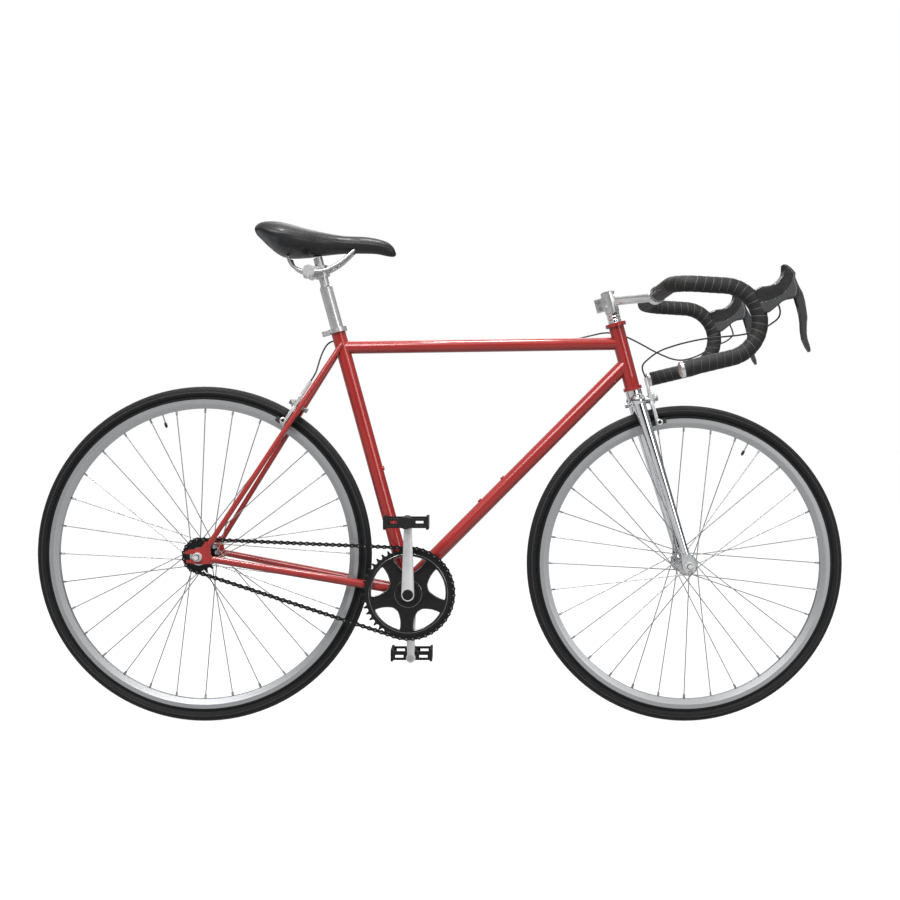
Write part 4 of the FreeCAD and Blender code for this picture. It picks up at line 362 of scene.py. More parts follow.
def tape_cloth():
    """Woven wrap with a painted highlight on the raised edge of each turn."""
    finish = Finish("tape_cloth")
    lap = finish.attribute("lap")
    weave = finish.noise(900.0, 2.0)
    marks = finish.noise(70.0, 4.0)
    # painted highlight: a pale band along the raised edge of each lap
    edge = 1.0 - lap.step(0.03, 0.08)
    cloth = marks.step(0.3, 0.75).mix((0.015, 0.015, 0.0145), (0.023, 0.023, 0.022))
    finish.set(base_color=edge.mix(cloth, 0.11), roughness=0.5 + marks * 0.15)
    return finish.dull(0.3).bump(weave + marks * 0.6, 0.0003)


def saddle_leather():
    """Black cover with a grey-blue panel low on the rear sides and a sewn edge."""
    finish = Finish("saddle_leather")
    panel = finish.attribute("panel")
    seam = finish.attribute("seam")
    pores = finish.cells(700.0)
    creases = finish.noise(45.0, 6.0, 0.6)
    cover = creases.step(0.35, 0.8).mix((0.006, 0.006, 0.0065), (0.012, 0.012, 0.013))
    strip = creases.step(0.3, 0.8).mix((0.030, 0.036, 0.045), (0.045, 0.052, 0.062))
    finish.set(base_color=panel.mix(cover, strip), roughness=0.36 + creases * 0.18, coat_weight=0.12)
    return finish.dull(0.4).bump(pores * 0.4 + creases - seam * 2.0, 0.0004)


# Every material by its short name
FINISHES = {}


# Meshes


def link(name, data):
    """A new object in the scene."""
    made = bpy.data.objects.new(name, data)
    bpy.context.scene.collection.objects.link(made)
    return made


def settled(piece, body, node=None):
    """Says what a piece rides on and hides any solid that it replaces."""
    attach(piece, body)
    if node:
        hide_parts(node)
    return piece


def coat(mesh, finish):
    """Puts one finish on a mesh."""
    mesh.materials.clear()
    mesh.materials.append(FINISHES[finish])


def shaded(mesh, smooth=True):
    """Makes every face of a mesh smooth or flat."""
    mesh.polygons.foreach_set("use_smooth", [smooth] * len(mesh.polygons))


def mesh_object(name, places, faces, finish, smooth=True, layers=None):
    """A new object from points and faces, with point values by name."""
    mesh = bpy.data.meshes.new(name)
    mesh.from_pydata([tuple(p) for p in places], [], faces)
    for key, values in (layers or {}).items():
        mesh.attributes.new(key, "FLOAT", "POINT").data.foreach_set("value", values)
    shaded(mesh, smooth)
    coat(mesh, finish)
    mesh.update()
    return link(name, mesh)


def opened(mesh, join=JOIN):
    """A mesh opened for editing, with its doubled points joined."""
    work = bmesh.new()
    work.from_mesh(mesh)
    bmesh.ops.remove_doubles(work, verts=work.verts, dist=join)
    return work


def shut(work, mesh):
    work.to_mesh(mesh)
    work.free()


def clean(made, sharp_angle=40.0, join=JOIN):
    """Joins doubled points, turns faces outwards and marks sharp edges."""
    work = opened(made.data, join)
    bmesh.ops.recalc_face_normals(work, faces=work.faces)
    limit = math.radians(sharp_angle)
    for edge in work.edges:
        edge.smooth = len(edge.link_faces) == 2 and edge.calc_face_angle(0) < limit
    shut(work, made.data)
    return made


def baked(holder, name):
    """The object that a holder's modifiers make, in the holder's place."""
    bpy.context.view_layer.update()
    view = bpy.context.evaluated_depsgraph_get()
    mesh = bpy.data.meshes.new_from_object(holder.evaluated_get(view))
    bpy.data.objects.remove(holder)
    mesh.name = name
    return link(name, mesh)


def shell(name, shapes, finish, sharp_angle=40.0, layers=None):
    """Closed shapes in one object, each given as rings of points that follow one another."""
    places = []
    faces = []
    for rings in shapes:
        first, count = len(places), len(rings[0])
        for ring in rings:
            places += ring
        for a in range(first, len(places) - count):
            b = a + 1 if (a + 1 - first) % count else a + 1 - count
            faces.append((a, a + count, b + count, b))
        faces.append(tuple(range(first, first + count)))
        faces.append(tuple(range(len(places) - 1, len(places) - 1 - count, -1)))
    return clean(mesh_object(name, places, faces, finish, layers=layers), sharp_angle)


def spot(turn, radius, centre=Vector()):
    """A place on a circle about an axle that runs across the bicycle."""
    return centre + Vector((math.cos(turn), 0, math.sin(turn))) * radius


def reach(place, axle):
    """Distance from an axle that runs across the bicycle."""
    return math.hypot(place.x - axle.x, place.z - axle.z)


def flat(points):
    """An outline in X and Z from points."""
    return [(point.x, point.z) for point in points]


def circle(radius, count, x=0.0):
    return flat(spot(math.tau * i / count, radius, Vector((x, 0, 0))) for i in range(count))


def slab(outline, low, high):
    """Rings of a flat shape drawn in X and Z, with its thickness across the bicycle."""
    return [[Vector((x, y, z)) for x, z in outline] for y in (low, high)]


def aheads(points):
    """The way ahead at each point of a path."""
    last = len(points) - 1
    return [points[min(i + 1, last)] - points[max(i - 1, 0)] for i in range(last + 1)]


def path_frames(points):
    """Two cross directions at each point of a path, carried along without twist."""
    ways = [way.normalized() for way in aheads(points)]
    guide = Vector((0, 0, 1)) if abs(ways[0].z) < 0.8 else Vector((1, 0, 0))
    side = ways[0].cross(guide).normalized()
    frames = []
    for way in ways:
        side = (side - way * side.dot(way)).normalized()
        frames.append((side, way.cross(side)))
    return frames


def hoop(middle, side, up, radius, count):
    """A ring of points round a middle, in the plane of two directions."""
    turns = [math.tau * j / count for j in range(count)]
    return [middle + (side * math.cos(turn) + up * math.sin(turn)) * radius for turn in turns]


def tube(name, points, radius, finish, around=14):
    """A round tube along a path, closed at both ends."""
    rings = [hoop(point, *cross, radius, around) for point, cross in zip(points, path_frames(points))]
    return shell(name, [rings], finish, 60)


def turned(name, start, way, profile, finish, around=16):
    """A round shape about a line, from distances along it and the radius at each."""
    side = way.orthogonal().normalized()
    up = way.cross(side)
    rings = [hoop(start + way * along, side, up, radius, around) for along, radius in profile]
    return shell(name, [rings], finish, 60)


def resampled(points, step):
    """The same path at even steps."""
    lengths = [0.0]
    for a, b in zip(points, points[1:]):
        lengths.append(lengths[-1] + (b - a).length)
    wanted = np.linspace(0, lengths[-1], max(2, int(lengths[-1] / step)) + 1)
    columns = [np.interp(wanted, lengths, [p[k] for p in points]) for k in range(3)]
    return [Vector(p) for p in zip(*columns)]


def eased(corners, spacing=0.004, steps=14):
    """A path that rounds each corner between the middles of its neighbours."""
    points = [corners[0]]
    for before, corner, after in zip(corners, corners[1:], corners[2:]):
        half = min((corner - before).length, (after - corner).length) / 2
        start = corner + (before - corner).normalized() * half
        end = corner + (after - corner).normalized() * half
        for i in range(steps + 1):
            t = i / steps
            points.append(start * (1 - t) ** 2 + corner * (2 * t * (1 - t)) + end * t**2)
    return resampled(points + corners[-1:], spacing)


def copied(node, name, finish):
    """A copy of a solid's mesh that takes the solid's place."""
    mesh = NODES[node].data.copy()
    mesh.name = name
    made = link(name, mesh)
    if mesh.has_custom_normals:
        with bpy.context.temp_override(object=made, active_object=made):
            bpy.ops.mesh.customdata_custom_splitnormals_clear()
    coat(mesh, finish)
    return settled(made, NODES[node]["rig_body"], node)


def softened(made, radius, segments=3):
    """Rounds the sharp edges of a plate-like piece."""
    work = opened(made.data)
    flat_angle, sharp_angle = math.radians(0.6), math.radians(55)
    bmesh.ops.dissolve_limit(work, angle_limit=flat_angle, verts=work.verts, edges=work.edges)
    sharp = [e for e in work.edges if len(e.link_faces) == 2 and e.calc_face_angle(0) > sharp_angle]
    bmesh.ops.bevel(
        work, geom=[e for e in sharp if e.calc_length() > 2.5 * radius], offset=radius,
        segments=segments, profile=0.5, affect="EDGES", clamp_overlap=True,
    )
    bmesh.ops.triangulate(work, faces=[f for f in work.faces if len(f.verts) > 4])
    shut(work, made.data)
    shaded(made.data)
    return clean(made, 42)


def plate(name, outlines, low, high, edge, finish):
    """A flat shape with holes drawn in X and Z about the bracket, with rounded edges."""
    curve = bpy.data.curves.new(name, "CURVE")
    curve.dimensions = "2D"
    curve.fill_mode = "BOTH"
    for outline in outlines:
        spline = curve.splines.new("POLY")
        spline.points.add(len(outline) - 1)
        for point, (x, z) in zip(spline.points, outline):
            point.co = (x, z, 0, 1)
        spline.use_cyclic_u = True
    curve.extrude = (high - low) / 2 - edge
    curve.bevel_depth = edge
    curve.bevel_resolution = 2
    curve.offset = -edge
    made = baked(link(name + "_curve", curve), name)
    middle = BRACKET + Vector((0, (low + high) / 2, 0))
    made.data.transform(Matrix.Translation(middle) @ Matrix.Rotation(math.pi / 2, 4, "X"))
    coat(made.data, finish)
    shaded(made.data)
    return clean(made)


def repeated(name, places, turns, shape, finish):
    """Copies of one shape at points, each turned its own way, made by a geometry node tree."""
    mesh = bpy.data.meshes.new(name + "_points")
    mesh.from_pydata([tuple(p) for p in places], [], [])
    layer = mesh.attributes.new("turn", "FLOAT_VECTOR", "POINT")
    layer.data.foreach_set("vector", [value for turn in turns for value in turn])
    holder = link(name + "_points", mesh)
    tree = bpy.data.node_groups.new(name + "_tree", "GeometryNodeTree")
    tree.interface.new_socket("Geometry", in_out="INPUT", socket_type="NodeSocketGeometry")
    shape_input = tree.interface.new_socket("Shape", in_out="INPUT", socket_type="NodeSocketObject")
    tree.interface.new_socket("Geometry", in_out="OUTPUT", socket_type="NodeSocketGeometry")
    add = Flow(tree).node
    points, wanted = (add("NodeGroupInput", output=key) for key in ("Geometry", "Shape"))
    source = add("GeometryNodeObjectInfo", {"Object": wanted}, "Geometry")
    turn = add("GeometryNodeInputNamedAttribute", {"Name": "turn"}, "Attribute", data_type="FLOAT_VECTOR")
    rotation = add("FunctionNodeEulerToRotation", {"Euler": turn}, "Rotation")
    inputs = {"Points": points, "Instance": source, "Rotation": rotation}
    spread = add("GeometryNodeInstanceOnPoints", inputs, "Instances")
    real = add("GeometryNodeRealizeInstances", {"Geometry": spread}, "Geometry")
    painted = add("GeometryNodeSetMaterial", {"Geometry": real, "Material": FINISHES[finish]}, "Geometry")
    tree.links.new(painted.socket, tree.nodes.new("NodeGroupOutput").inputs["Geometry"])
    modifier = holder.modifiers.new("repeat", "NODES")
    modifier.node_group = tree
    modifier[shape_input.identifier] = shape
    holder.update_tag()
    made = baked(holder, name)
    bpy.data.objects.remove(shape)
    return made


def pins(name, places, ways, length, radius, sides, finish):
    """Round pins of one size, each laid along its own way."""
    pin = shell(name + "_pin", [slab(circle(radius, sides), -length / 2, length / 2)], finish, 50)
    turns = [way.to_track_quat("Y", "Z").to_euler() for way in ways]
    return repeated(name, places, turns, pin, finish)


class BicycleLooks(bpy.types.PropertyGroup):
    """Sizes and counts that the looks are made from."""

    tape_pitch: bpy.props.FloatProperty(name="Tape pitch", default=0.0145, min=0.01, max=0.03)
    tape_step: bpy.props.FloatProperty(name="Tape step", default=0.0005, min=0.0002, max=0.002)
    tape_turns: bpy.props.IntProperty(name="Points in a turn", default=40, min=12, max=80)
    cable_diameter: bpy.props.FloatProperty(name="Cable diameter", default=0.0032, min=0.002, max=0.006)
    saddle_rows: bpy.props.IntProperty(name="Saddle rows", default=72, min=20, max=160)
    saddle_points: bpy.props.IntProperty(name="Points in a saddle row", default=64, min=24, max=128)
    stitch_spacing: bpy.props.FloatProperty(name="Stitch spacing", default=0.0046, min=0.002, max=0.01)
    stitch_length: bpy.props.FloatProperty(name="Stitch length", default=0.0032, min=0.001, max=0.008)
    nipple_length: bpy.props.FloatProperty(name="Nipple length", default=0.007, min=0.004, max=0.02)
    nipple_radius: bpy.props.FloatProperty(name="Nipple radius", default=0.0016, min=0.001, max=0.004)


# The solids that stay in sight, by finish
SOLIDS = {
    "red": "head_tube top_tube down_tube seat_tube bottom_bracket_shell chain_stays track_ends "
           "frame_fittings headset_cups",
    "chrome": "fork_crown fork_blades headset_spacers",
    "bright": "fork_steerer headset_bearings front_hub_bearings rear_hub_bearings bottom_bracket_cups "
              "bottom_bracket_spindle stem_bolts pedal_axles saddle_rails front_brake_bolt rear_brake_bolt",
    "spoke": "front_spokes rear_spokes",
    "polished": "handlebar seat_post bar_end_plugs front_hub rear_hub",
    "satin": "seat_collar saddle_clamp",
    "black": "cog crank_bolts",
    "pedal": "right_pedal left_pedal",
    "front_rim": "front_rim",
    "rear_rim": "rear_rim",
    "front_tyre": "front_tyre",
    "rear_tyre": "rear_tyre",
}


class BICYCLE_OT_finishes(bpy.types.Operator):
    """Make every finish and put it on the solids that stay in sight"""

    bl_idname = "bicycle.finishes"
    bl_label = "Finishes"

    def execute(self, context):
        crosswise = (700.0, 60.0, 700.0)
        FINISHES.update({
            "red": red_paint(),
            "chrome": chrome(),
            "bright": steel("bright_steel"),
            "spoke": steel("spoke_steel", 0.42, 0.3),
            "ring_edge": steel("ring_edge_steel", 0.3, 0.12),
            "polished": silver("polished_alloy"),
            "satin": silver("satin_alloy", 0.66, 0.26, crosswise),
            "crank": silver("crank_alloy", 0.88, 0.3, crosswise, 0.5, 0.016),
            "caliper": silver("caliper_alloy", 0.8, 0.22, crosswise, 0.7),
            "black": black_metal("black_drive"),
            "ring": black_metal("black_ring", 0.006, 0.36, 0.2),
            "chain": black_metal("dark_chain", 0.02, 0.3, 0.85),
            "pin": black_metal("dark_pin", 0.26, 0.3, 0.85),
            "pedal": black_metal("black_pedal", 0.011, 0.36, 0.15),
            "lever": black_metal("grey_lever", 0.038, 0.36, 0.0),
            "hood": hood_cover(),
            "tube": soft_rubber("tube_rubber", 0.012),
            "shoe": soft_rubber("shoe_rubber", 0.014),
            "tape": tape_cloth(),
            "leather": saddle_leather(),
            "thread": plain("saddle_thread", 2500.0, 2.0, 0.7, (0.03, 0.06), 0.7, None, 0.0001),
            "cable": plain("cable_cover", 300.0, 3.0, 0.8, (0.008, 0.018), 0.28, 0.12, 0.00005),
        })
        for name, (axle, outer, line) in WHEELS.items():
            FINISHES[name + "_axle"] = axle_steel(name + "_axle_steel", axle)
            FINISHES[name + "_rim"] = rim_metal(name + "_rim_alloy", axle, outer)
            FINISHES[name + "_tyre"] = tyre(name + "_tyre_rubber", axle, outer, line)
        for finish, nodes in SOLIDS.items():
            for node in nodes.split():
                coat(NODES[node].data, finish)
        return {"FINISHED"}


# Along, half width at the side and base, then heights of side, crown and base, all as shares
SADDLE_ROWS = (
    (0.0, 0.10, 0.07, 0.755, 0.79, 0.72),
    (0.008, 0.20, 0.15, 0.755, 0.85, 0.655),
    (0.02, 0.27, 0.21, 0.745, 0.895, 0.60),
    (0.045, 0.37, 0.31, 0.72, 0.94, 0.51),
    (0.08, 0.445, 0.38, 0.68, 0.97, 0.38),
    (0.155, 0.495, 0.43, 0.58, 0.975, 0.15),
    (0.227, 0.49, 0.42, 0.53, 0.935, 0.045),
    (0.37, 0.38, 0.31, 0.44, 0.80, 0.05),
    (0.485, 0.25, 0.19, 0.42, 0.71, 0.10),
    (0.63, 0.155, 0.115, 0.39, 0.625, 0.15),
    (0.78, 0.13, 0.095, 0.37, 0.60, 0.155),
    (0.866, 0.12, 0.085, 0.34, 0.55, 0.14),
    (0.94, 0.10, 0.07, 0.28, 0.46, 0.085),
    (0.98, 0.07, 0.05, 0.20, 0.335, 0.07),
    (0.995, 0.035, 0.025, 0.155, 0.22, 0.095),
    (1.0, 0.012, 0.008, 0.14, 0.16, 0.12),
)
# The seam's share of the half width, and where the stitches lie: along, across and up the crown
SEAM_ACROSS = 0.97
SEAM_SOFT = 0.02
STITCH_ALONG = (0.06, 0.93)
STITCH_ACROSS = 0.972
STITCH_RISE = 0.205
STITCH_RADIUS = 0.00045
# Powers that shape the crown, and how soon and how the flank falls away below it
CROWN_POWERS = (2.6, 0.6)
FLANK_POWERS = (1.6, 0.75)
FLANK_REACH = 1.3
# The grey-blue panel, down the side and along the saddle
PANEL_DROP = (0.14, 0.6)
PANEL_ALONG = (0.03, 0.2)


def saddle_row(along):
    """The saddle's shares at a place along it, on a smooth curve through the rows."""
    stations = [row[0] for row in SADDLE_ROWS]
    last = len(stations) - 1
    i = max(0, min(last - 1, int(np.searchsorted(stations, along)) - 1))
    before, low, high, after = (SADDLE_ROWS[max(0, min(last, i + k))] for k in (-1, 0, 1, 2))
    span = high[0] - low[0]
    t = (along - low[0]) / span
    shares = []
    for k in range(1, len(low)):
        start = (high[k] - before[k]) / (high[0] - before[0]) * span
        end = (after[k] - low[k]) / (after[0] - low[0]) * span
        cubic = (2 * low[k] - 2 * high[k] + start + end) * t**3
        square = (3 * high[k] - 3 * low[k] - 2 * start - end) * t**2
        shares.append(cubic + square + start * t + low[k])
    return shares


def saddle_section(along, count):
    """Points round the saddle at one place, from the middle of the crown, with panel and seam."""
    side, base, side_height, crown, base_height = saddle_row(along)
    points = []
    for j in range(count):
        turn = math.tau * j / count
        across, drop = math.sin(turn), -math.cos(turn)
        panel = seam = 0.0
        if drop <= 0:
            rise = max(0.0, 1 - abs(across) ** CROWN_POWERS[0]) ** CROWN_POWERS[1]
            y, z = side * across, side_height + (crown - side_height) * rise
            seam = max(0.0, 1 - abs(abs(across) - SEAM_ACROSS) / SEAM_SOFT)
        else:
            width = side + (base - side) * min(1.0, drop * FLANK_REACH) ** FLANK_POWERS[0]
            y, z = width * across, side_height + (base_height - side_height) * drop ** FLANK_POWERS[1]
            if PANEL_DROP[0] < drop < PANEL_DROP[1] and PANEL_ALONG[0] < along < PANEL_ALONG[1]:
                panel = 1.0
        points.append((Vector((along, y, z)) * SADDLE_SIZE + SADDLE_START, panel, seam))
    return points


def saddle_stitches(looks):
    """Stitches along both edges of the crown, placed by a node tree."""
    places = []
    ways = []
    for side in (1, -1):
        points = []
        for along in np.linspace(*STITCH_ALONG, 160):
            width, _, low, crown, _ = saddle_row(along)
            share = Vector((along, side * width * STITCH_ACROSS, low + (crown - low) * STITCH_RISE))
            points.append(share * SADDLE_SIZE + SADDLE_START)
        line = resampled(points, looks.stitch_spacing)
        places += line
        ways += aheads(line)
    return pins("saddle_stitches", places, ways, looks.stitch_length, STITCH_RADIUS, 8, "thread")


class BICYCLE_OT_saddle(bpy.types.Operator):
    """Model the padded saddle with its panel and sewn edge"""

    bl_idname = "bicycle.saddle"
    bl_label = "Saddle"

    def execute(self, context):
        looks = context.scene.bicycle_looks
        turns = [math.pi * i / (looks.saddle_rows - 1) for i in range(looks.saddle_rows)]
        sections = [saddle_section(0.5 - 0.5 * math.cos(turn), looks.saddle_points) for turn in turns]
        rings = [[point for point, panel, seam in row] for row in sections]
        layers = {
            "panel": [panel for row in sections for point, panel, seam in row],
            "seam": [seam for row in sections for point, panel, seam in row],
        }
        saddle = shell("saddle_cover", [rings], "leather", 70, layers)
        settled(saddle, "seat", "saddle")
        settled(saddle_stitches(looks), "seat")
        return {"FINISHED"}


BAR_STEP = 0.001
TAPE_RADIUS = 0.0152
TAPE_START = 0.0362
# Across one lap: share of the pitch, and share of the step by which it lies lower
TAPE_LAP = ((0.0, 0.55), (0.04, 0.0), (0.3, 0.12), (0.65, 0.5), (1.0, 1.0))


def bar_line(side):
    """The bar's middle from near the clamp to its end on one side."""
    ramp = Vector((math.cos(RAMP_SLOPE), 0, -math.sin(RAMP_SLOPE)))
    down = Vector((ramp.z, 0, -ramp.x))
    across = Vector((0, side, 0))
    points = [BAR_CENTRE + across * TAPE_START]
    centre = BAR_CENTRE + across * (BAR_HALF - BAR_CORNER) + ramp * BAR_CORNER
    for turn in np.linspace(0, math.pi / 2, 25):
        points.append(centre + (across * math.sin(turn) - ramp * math.cos(turn)) * BAR_CORNER)
    hook = BAR_CENTRE + ramp * BAR_REACH + across * BAR_HALF + down * HOOK_RADIUS
    first, last = math.atan2(-down.z, -down.x), DROP_SLOPE - math.pi / 2
    points += [spot(turn, HOOK_RADIUS, hook) for turn in np.linspace(first, last, 61)]
    points.append(DROP_END + across * BAR_HALF)
    return resampled(points, BAR_STEP)


def wound(side, looks):
    """One side's tape: laps that step up on each other like shingles."""
    points = bar_line(side)
    frames = path_frames(points)
    length = sum((b - a).length for a, b in zip(points, points[1:]))
    last = len(points) - 1
    step = length / last
    turns, columns = looks.tape_turns, len(TAPE_LAP)
    places = []
    for n in range(-turns, int((length / looks.tape_pitch + 1) * turns) + 1):
        turn = side * math.tau * n / turns
        for share, drop in TAPE_LAP:
            along = min(length, max(0.0, looks.tape_pitch * (n / turns + share))) / step
            low = min(last - 1, int(along))
            middle = points[low].lerp(points[low + 1], min(1.0, along - low))
            across, up = frames[min(last, int(round(along)))]
            radius = TAPE_RADIUS - looks.tape_step * drop
            places.append(middle + (across * math.cos(turn) + up * math.sin(turn)) * radius)
    rows = len(places) // columns
    faces = []
    for a in range(len(places) - columns):
        n, c = divmod(a, columns)
        if c < columns - 1:
            faces.append((a, a + 1, a + columns + 1, a + columns))
        elif n + turns + 1 < rows:
            b = (n + turns) * columns
            faces.append((a, b, b + columns, a + columns))
    return places, faces, [share for share, drop in TAPE_LAP] * rows


class BICYCLE_OT_bar_tape(bpy.types.Operator):
    """Wind the tape round both sides of the bar"""

    bl_idname = "bicycle.bar_tape"
    bl_label = "Bar tape"

    def execute(self, context):
        for side, name in ((1, "left_bar_tape"), (-1, "right_bar_tape")):
            places, faces, laps = wound(side, context.scene.bicycle_looks)
            tape = mesh_object(name, places, faces, "tape", layers={"lap": laps})
            settled(clean(tape, 50, JOIN / 10), "steering", "bar_tape")
        return {"FINISHED"}


# Both cables' ways as shares of the bar's width from the corner of the lever body: forward, aside, up
CABLE_LOOP = (
    (0.112, 0.5, 0.066), (0.126, 0.5, 0.032), (0.134, 0.49, 0.006), (0.132, 0.462, -0.018),
    (0.088, 0.42, -0.054), (0.008, 0.36, -0.082),
)
FRONT_CABLE = CABLE_LOOP + (
    (-0.09, 0.288, -0.087), (-0.165, 0.238, -0.092), (-0.252, 0.178, -0.108), (-0.36, 0.115, -0.142),
)
REAR_CABLE = CABLE_LOOP + (
    (-0.09, 0.29, -0.142), (-0.205, 0.2, -0.172), (-0.315, 0.14, -0.136), (-0.415, 0.088, -0.088),
    (-0.49, 0.066, -0.054), (-0.575, 0.06, -0.034), (-0.665, 0.056, -0.054),
)
# Their ends, in metres: at the front caliper, and along the top tube to the rear caliper
FRONT_END = ((0.39824, -0.0245, 0.70809), (0.40767, -0.0245, 0.68493))
REAR_END = (
    (0.22464, 0.01478, 0.75191), (-0.14042, 0.01478, 0.74668), (-0.18835, 0.0191, 0.7619),
    (-0.22335, 0.01287, 0.76062), (-0.23622, -0.0032, 0.7331), (-0.2447, -0.0245, 0.69397),
    (-0.25489, -0.0245, 0.67805),
)


def cable_corners(shares, side, end):
    width = 2 * BAR_HALF
    run = [HOOD_CORNER + Vector((x, side * y, z)) * width for x, y, z in shares]
    return run + [Vector(place) for place in end]


class BICYCLE_OT_cables(bpy.types.Operator):
    """Run both brake cables from the levers to the calipers"""

    bl_idname = "bicycle.cables"
    bl_label = "Brake cables"

    def execute(self, context):
        radius = context.scene.bicycle_looks.cable_diameter / 2
        front = cable_corners(FRONT_CABLE, -1, FRONT_END)
        cable = tube("front_cable", eased(front), radius, "cable")
        settled(cable, "steering", "front_brake_cable")
        rear = cable_corners(REAR_CABLE, 1, REAR_END)
        cable = tube("rear_cable", eased(rear), radius, "cable")
        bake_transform(cable)
        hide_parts("rear_brake_cable")
        return {"FINISHED"}


WASHER_RADIUS = 0.0088
SPOKE_END_DEPTH = 0.0008
SPOKE_END_SPREAD = 0.006


def spoke_ends(mesh, axle):
    """The middle of each spoke's outer end."""
    places = [v.co.copy() for v in mesh.vertices]
    inner = max(reach(place, axle) for place in places) - SPOKE_END_DEPTH
    ends = []
    for place in places:
        if reach(place, axle) < inner:
            continue
        for group in ends:
            if (group[0] - place).length < SPOKE_END_SPREAD:
                group.append(place)
                break
        else:
            ends.append([place])
    return [sum(group, Vector()) / len(group) for group in ends]


def trimmed_axle(node, axle):
    """The axle with its washers as small as the photo shows them."""
    made = copied(node, node + "_trimmed", node)
    for vert in made.data.vertices:
        out = (vert.co - axle) * Vector((1, 0, 1))
        if out.length > WASHER_RADIUS:
            vert.co -= out * (1 - WASHER_RADIUS / out.length)
    return clean(made, 30)


class BICYCLE_OT_wheel_details(bpy.types.Operator):
    """Put a nipple on every spoke's end and trim the axle washers"""

    bl_idname = "bicycle.wheel_details"
    bl_label = "Wheel details"

    def execute(self, context):
        looks = context.scene.bicycle_looks
        length = looks.nipple_length
        for name, (axle, *_) in WHEELS.items():
            ends = spoke_ends(NODES[name + "_spokes"].data, axle)
            ways = [end - axle for end in ends]
            places = [end - way.normalized() * (length / 2) for end, way in zip(ends, ways)]
            nipples = pins(name + "_nipples", places, ways, length, looks.nipple_radius, 12, "bright")
            settled(nipples, name + "_wheel")
            trimmed_axle(name + "_axle", axle)
        return {"FINISHED"}


VALVE_ROOT = 0.022
VALVE_RADIUS = 0.0014
VALVE_IN_CAP = 0.004
# Along the cap towards the hub, and its radius there
VALVE_CAP = (
    (-0.0115, 0.0014), (-0.0105, 0.0024), (-0.007, 0.0030), (-0.0035, 0.0029), (-0.001, 0.0018),
    (0.0, 0.0004),
)


class BICYCLE_OT_valves(bpy.types.Operator):
    """Give each inner tube a slim valve with a black cap"""

    bl_idname = "bicycle.valves"
    bl_label = "Valves"

    def execute(self, context):
        for name, (axle, *_) in WHEELS.items():
            node = name + "_inner_tube"
            work = opened(NODES[node].data)
            root = max(reach(v.co, axle) for v in work.verts) - VALVE_ROOT
            valve = [v for v in work.verts if reach(v.co, axle) < root]
            last = min(valve, key=lambda v: reach(v.co, axle)).co
            tip = last * Vector((1, 0, 1))
            inward = (axle - tip).normalized()
            foot = tip - inward * (root - reach(last, axle))
            bmesh.ops.delete(work, geom=valve, context="VERTS")
            bmesh.ops.holes_fill(work, edges=work.edges)
            mesh = bpy.data.meshes.new(name + "_tube")
            shut(work, mesh)
            coat(mesh, "tube")
            line = [foot, tip - inward * VALVE_IN_CAP]
            for piece in (
                link(name + "_tube", mesh),
                tube(name + "_valve_stem", line, VALVE_RADIUS, "bright"),
                turned(name + "_valve_cap", tip, inward, VALVE_CAP, "tube"),
            ):
                settled(piece, name + "_wheel", node)
        return {"FINISHED"}


LINK_HALF = 0.0041
LINK_WAIST = (0.0018, 0.002484)
LINK_BEND = 124
LINK_PLATE = 0.001
LINK_INSIDE = 0.0033
LINK_CLEARANCE = 0.0001
ROLLER_RADIUS = 0.0038
PIN_RADIUS = 0.0015
PIN_STANDS_OUT = 0.0008


def chain_pins():
    """The places of all the pins, from the upper edge of the ring forward."""
    on_ring = RING_TEETH * (math.pi + 2 * CHAIN_LEAN) / math.tau
    on_cog = COG_TEETH * (math.pi - 2 * CHAIN_LEAN) / math.tau
    on_run = (CHAIN_LINKS - on_ring - on_cog) / 2
    ring_upper, ring_lower = (spot(turn, RING_RADIUS, BRACKET) for turn in (UPPER_TURN, LOWER_TURN))
    cog_upper, cog_lower = (spot(turn, COG_RADIUS, REAR_AXLE) for turn in (UPPER_TURN, LOWER_TURN))
    places = []
    for count in range(CHAIN_LINKS):
        past_ring, past_run = count - on_ring, count - on_ring - on_run
        if past_ring <= 0:
            place = spot(UPPER_TURN - count * math.tau / RING_TEETH, RING_RADIUS, BRACKET)
        elif past_run <= 0:
            place = ring_lower.lerp(cog_lower, past_ring / on_run)
        elif past_run <= on_cog:
            place = spot(LOWER_TURN - past_run * math.tau / COG_TEETH, COG_RADIUS, REAR_AXLE)
        else:
            place = cog_upper.lerp(ring_upper, (past_run - on_cog) / on_run)
        places.append(place + Vector((0, CHAIN_PLANE, 0)))
    return places


def link_outline():
    """A link plate like a figure of eight, round its two pins."""
    points = []
    for end in (1, -1):
        pin = Vector((end * CHAIN_PITCH / 2, 0, 0))
        for turn in np.linspace(-LINK_BEND, LINK_BEND, 15):
            points.append(spot(math.radians(turn), end * LINK_HALF, pin))
        points += [Vector((way * LINK_WAIST[0], 0, end * LINK_WAIST[1])) for way in (end, -end)]
    return flat(points)


def chain_link(name, near, rollers=()):
    """Two plates on the chain's two sides, with rollers between them at places along the link."""
    outline = link_outline()
    shapes = [slab(outline, near, near + LINK_PLATE), slab(outline, -near - LINK_PLATE, -near)]
    shapes += [slab(circle(ROLLER_RADIUS, 16, x), -near, near) for x in rollers]
    return shell(name, shapes, "chain", 50)


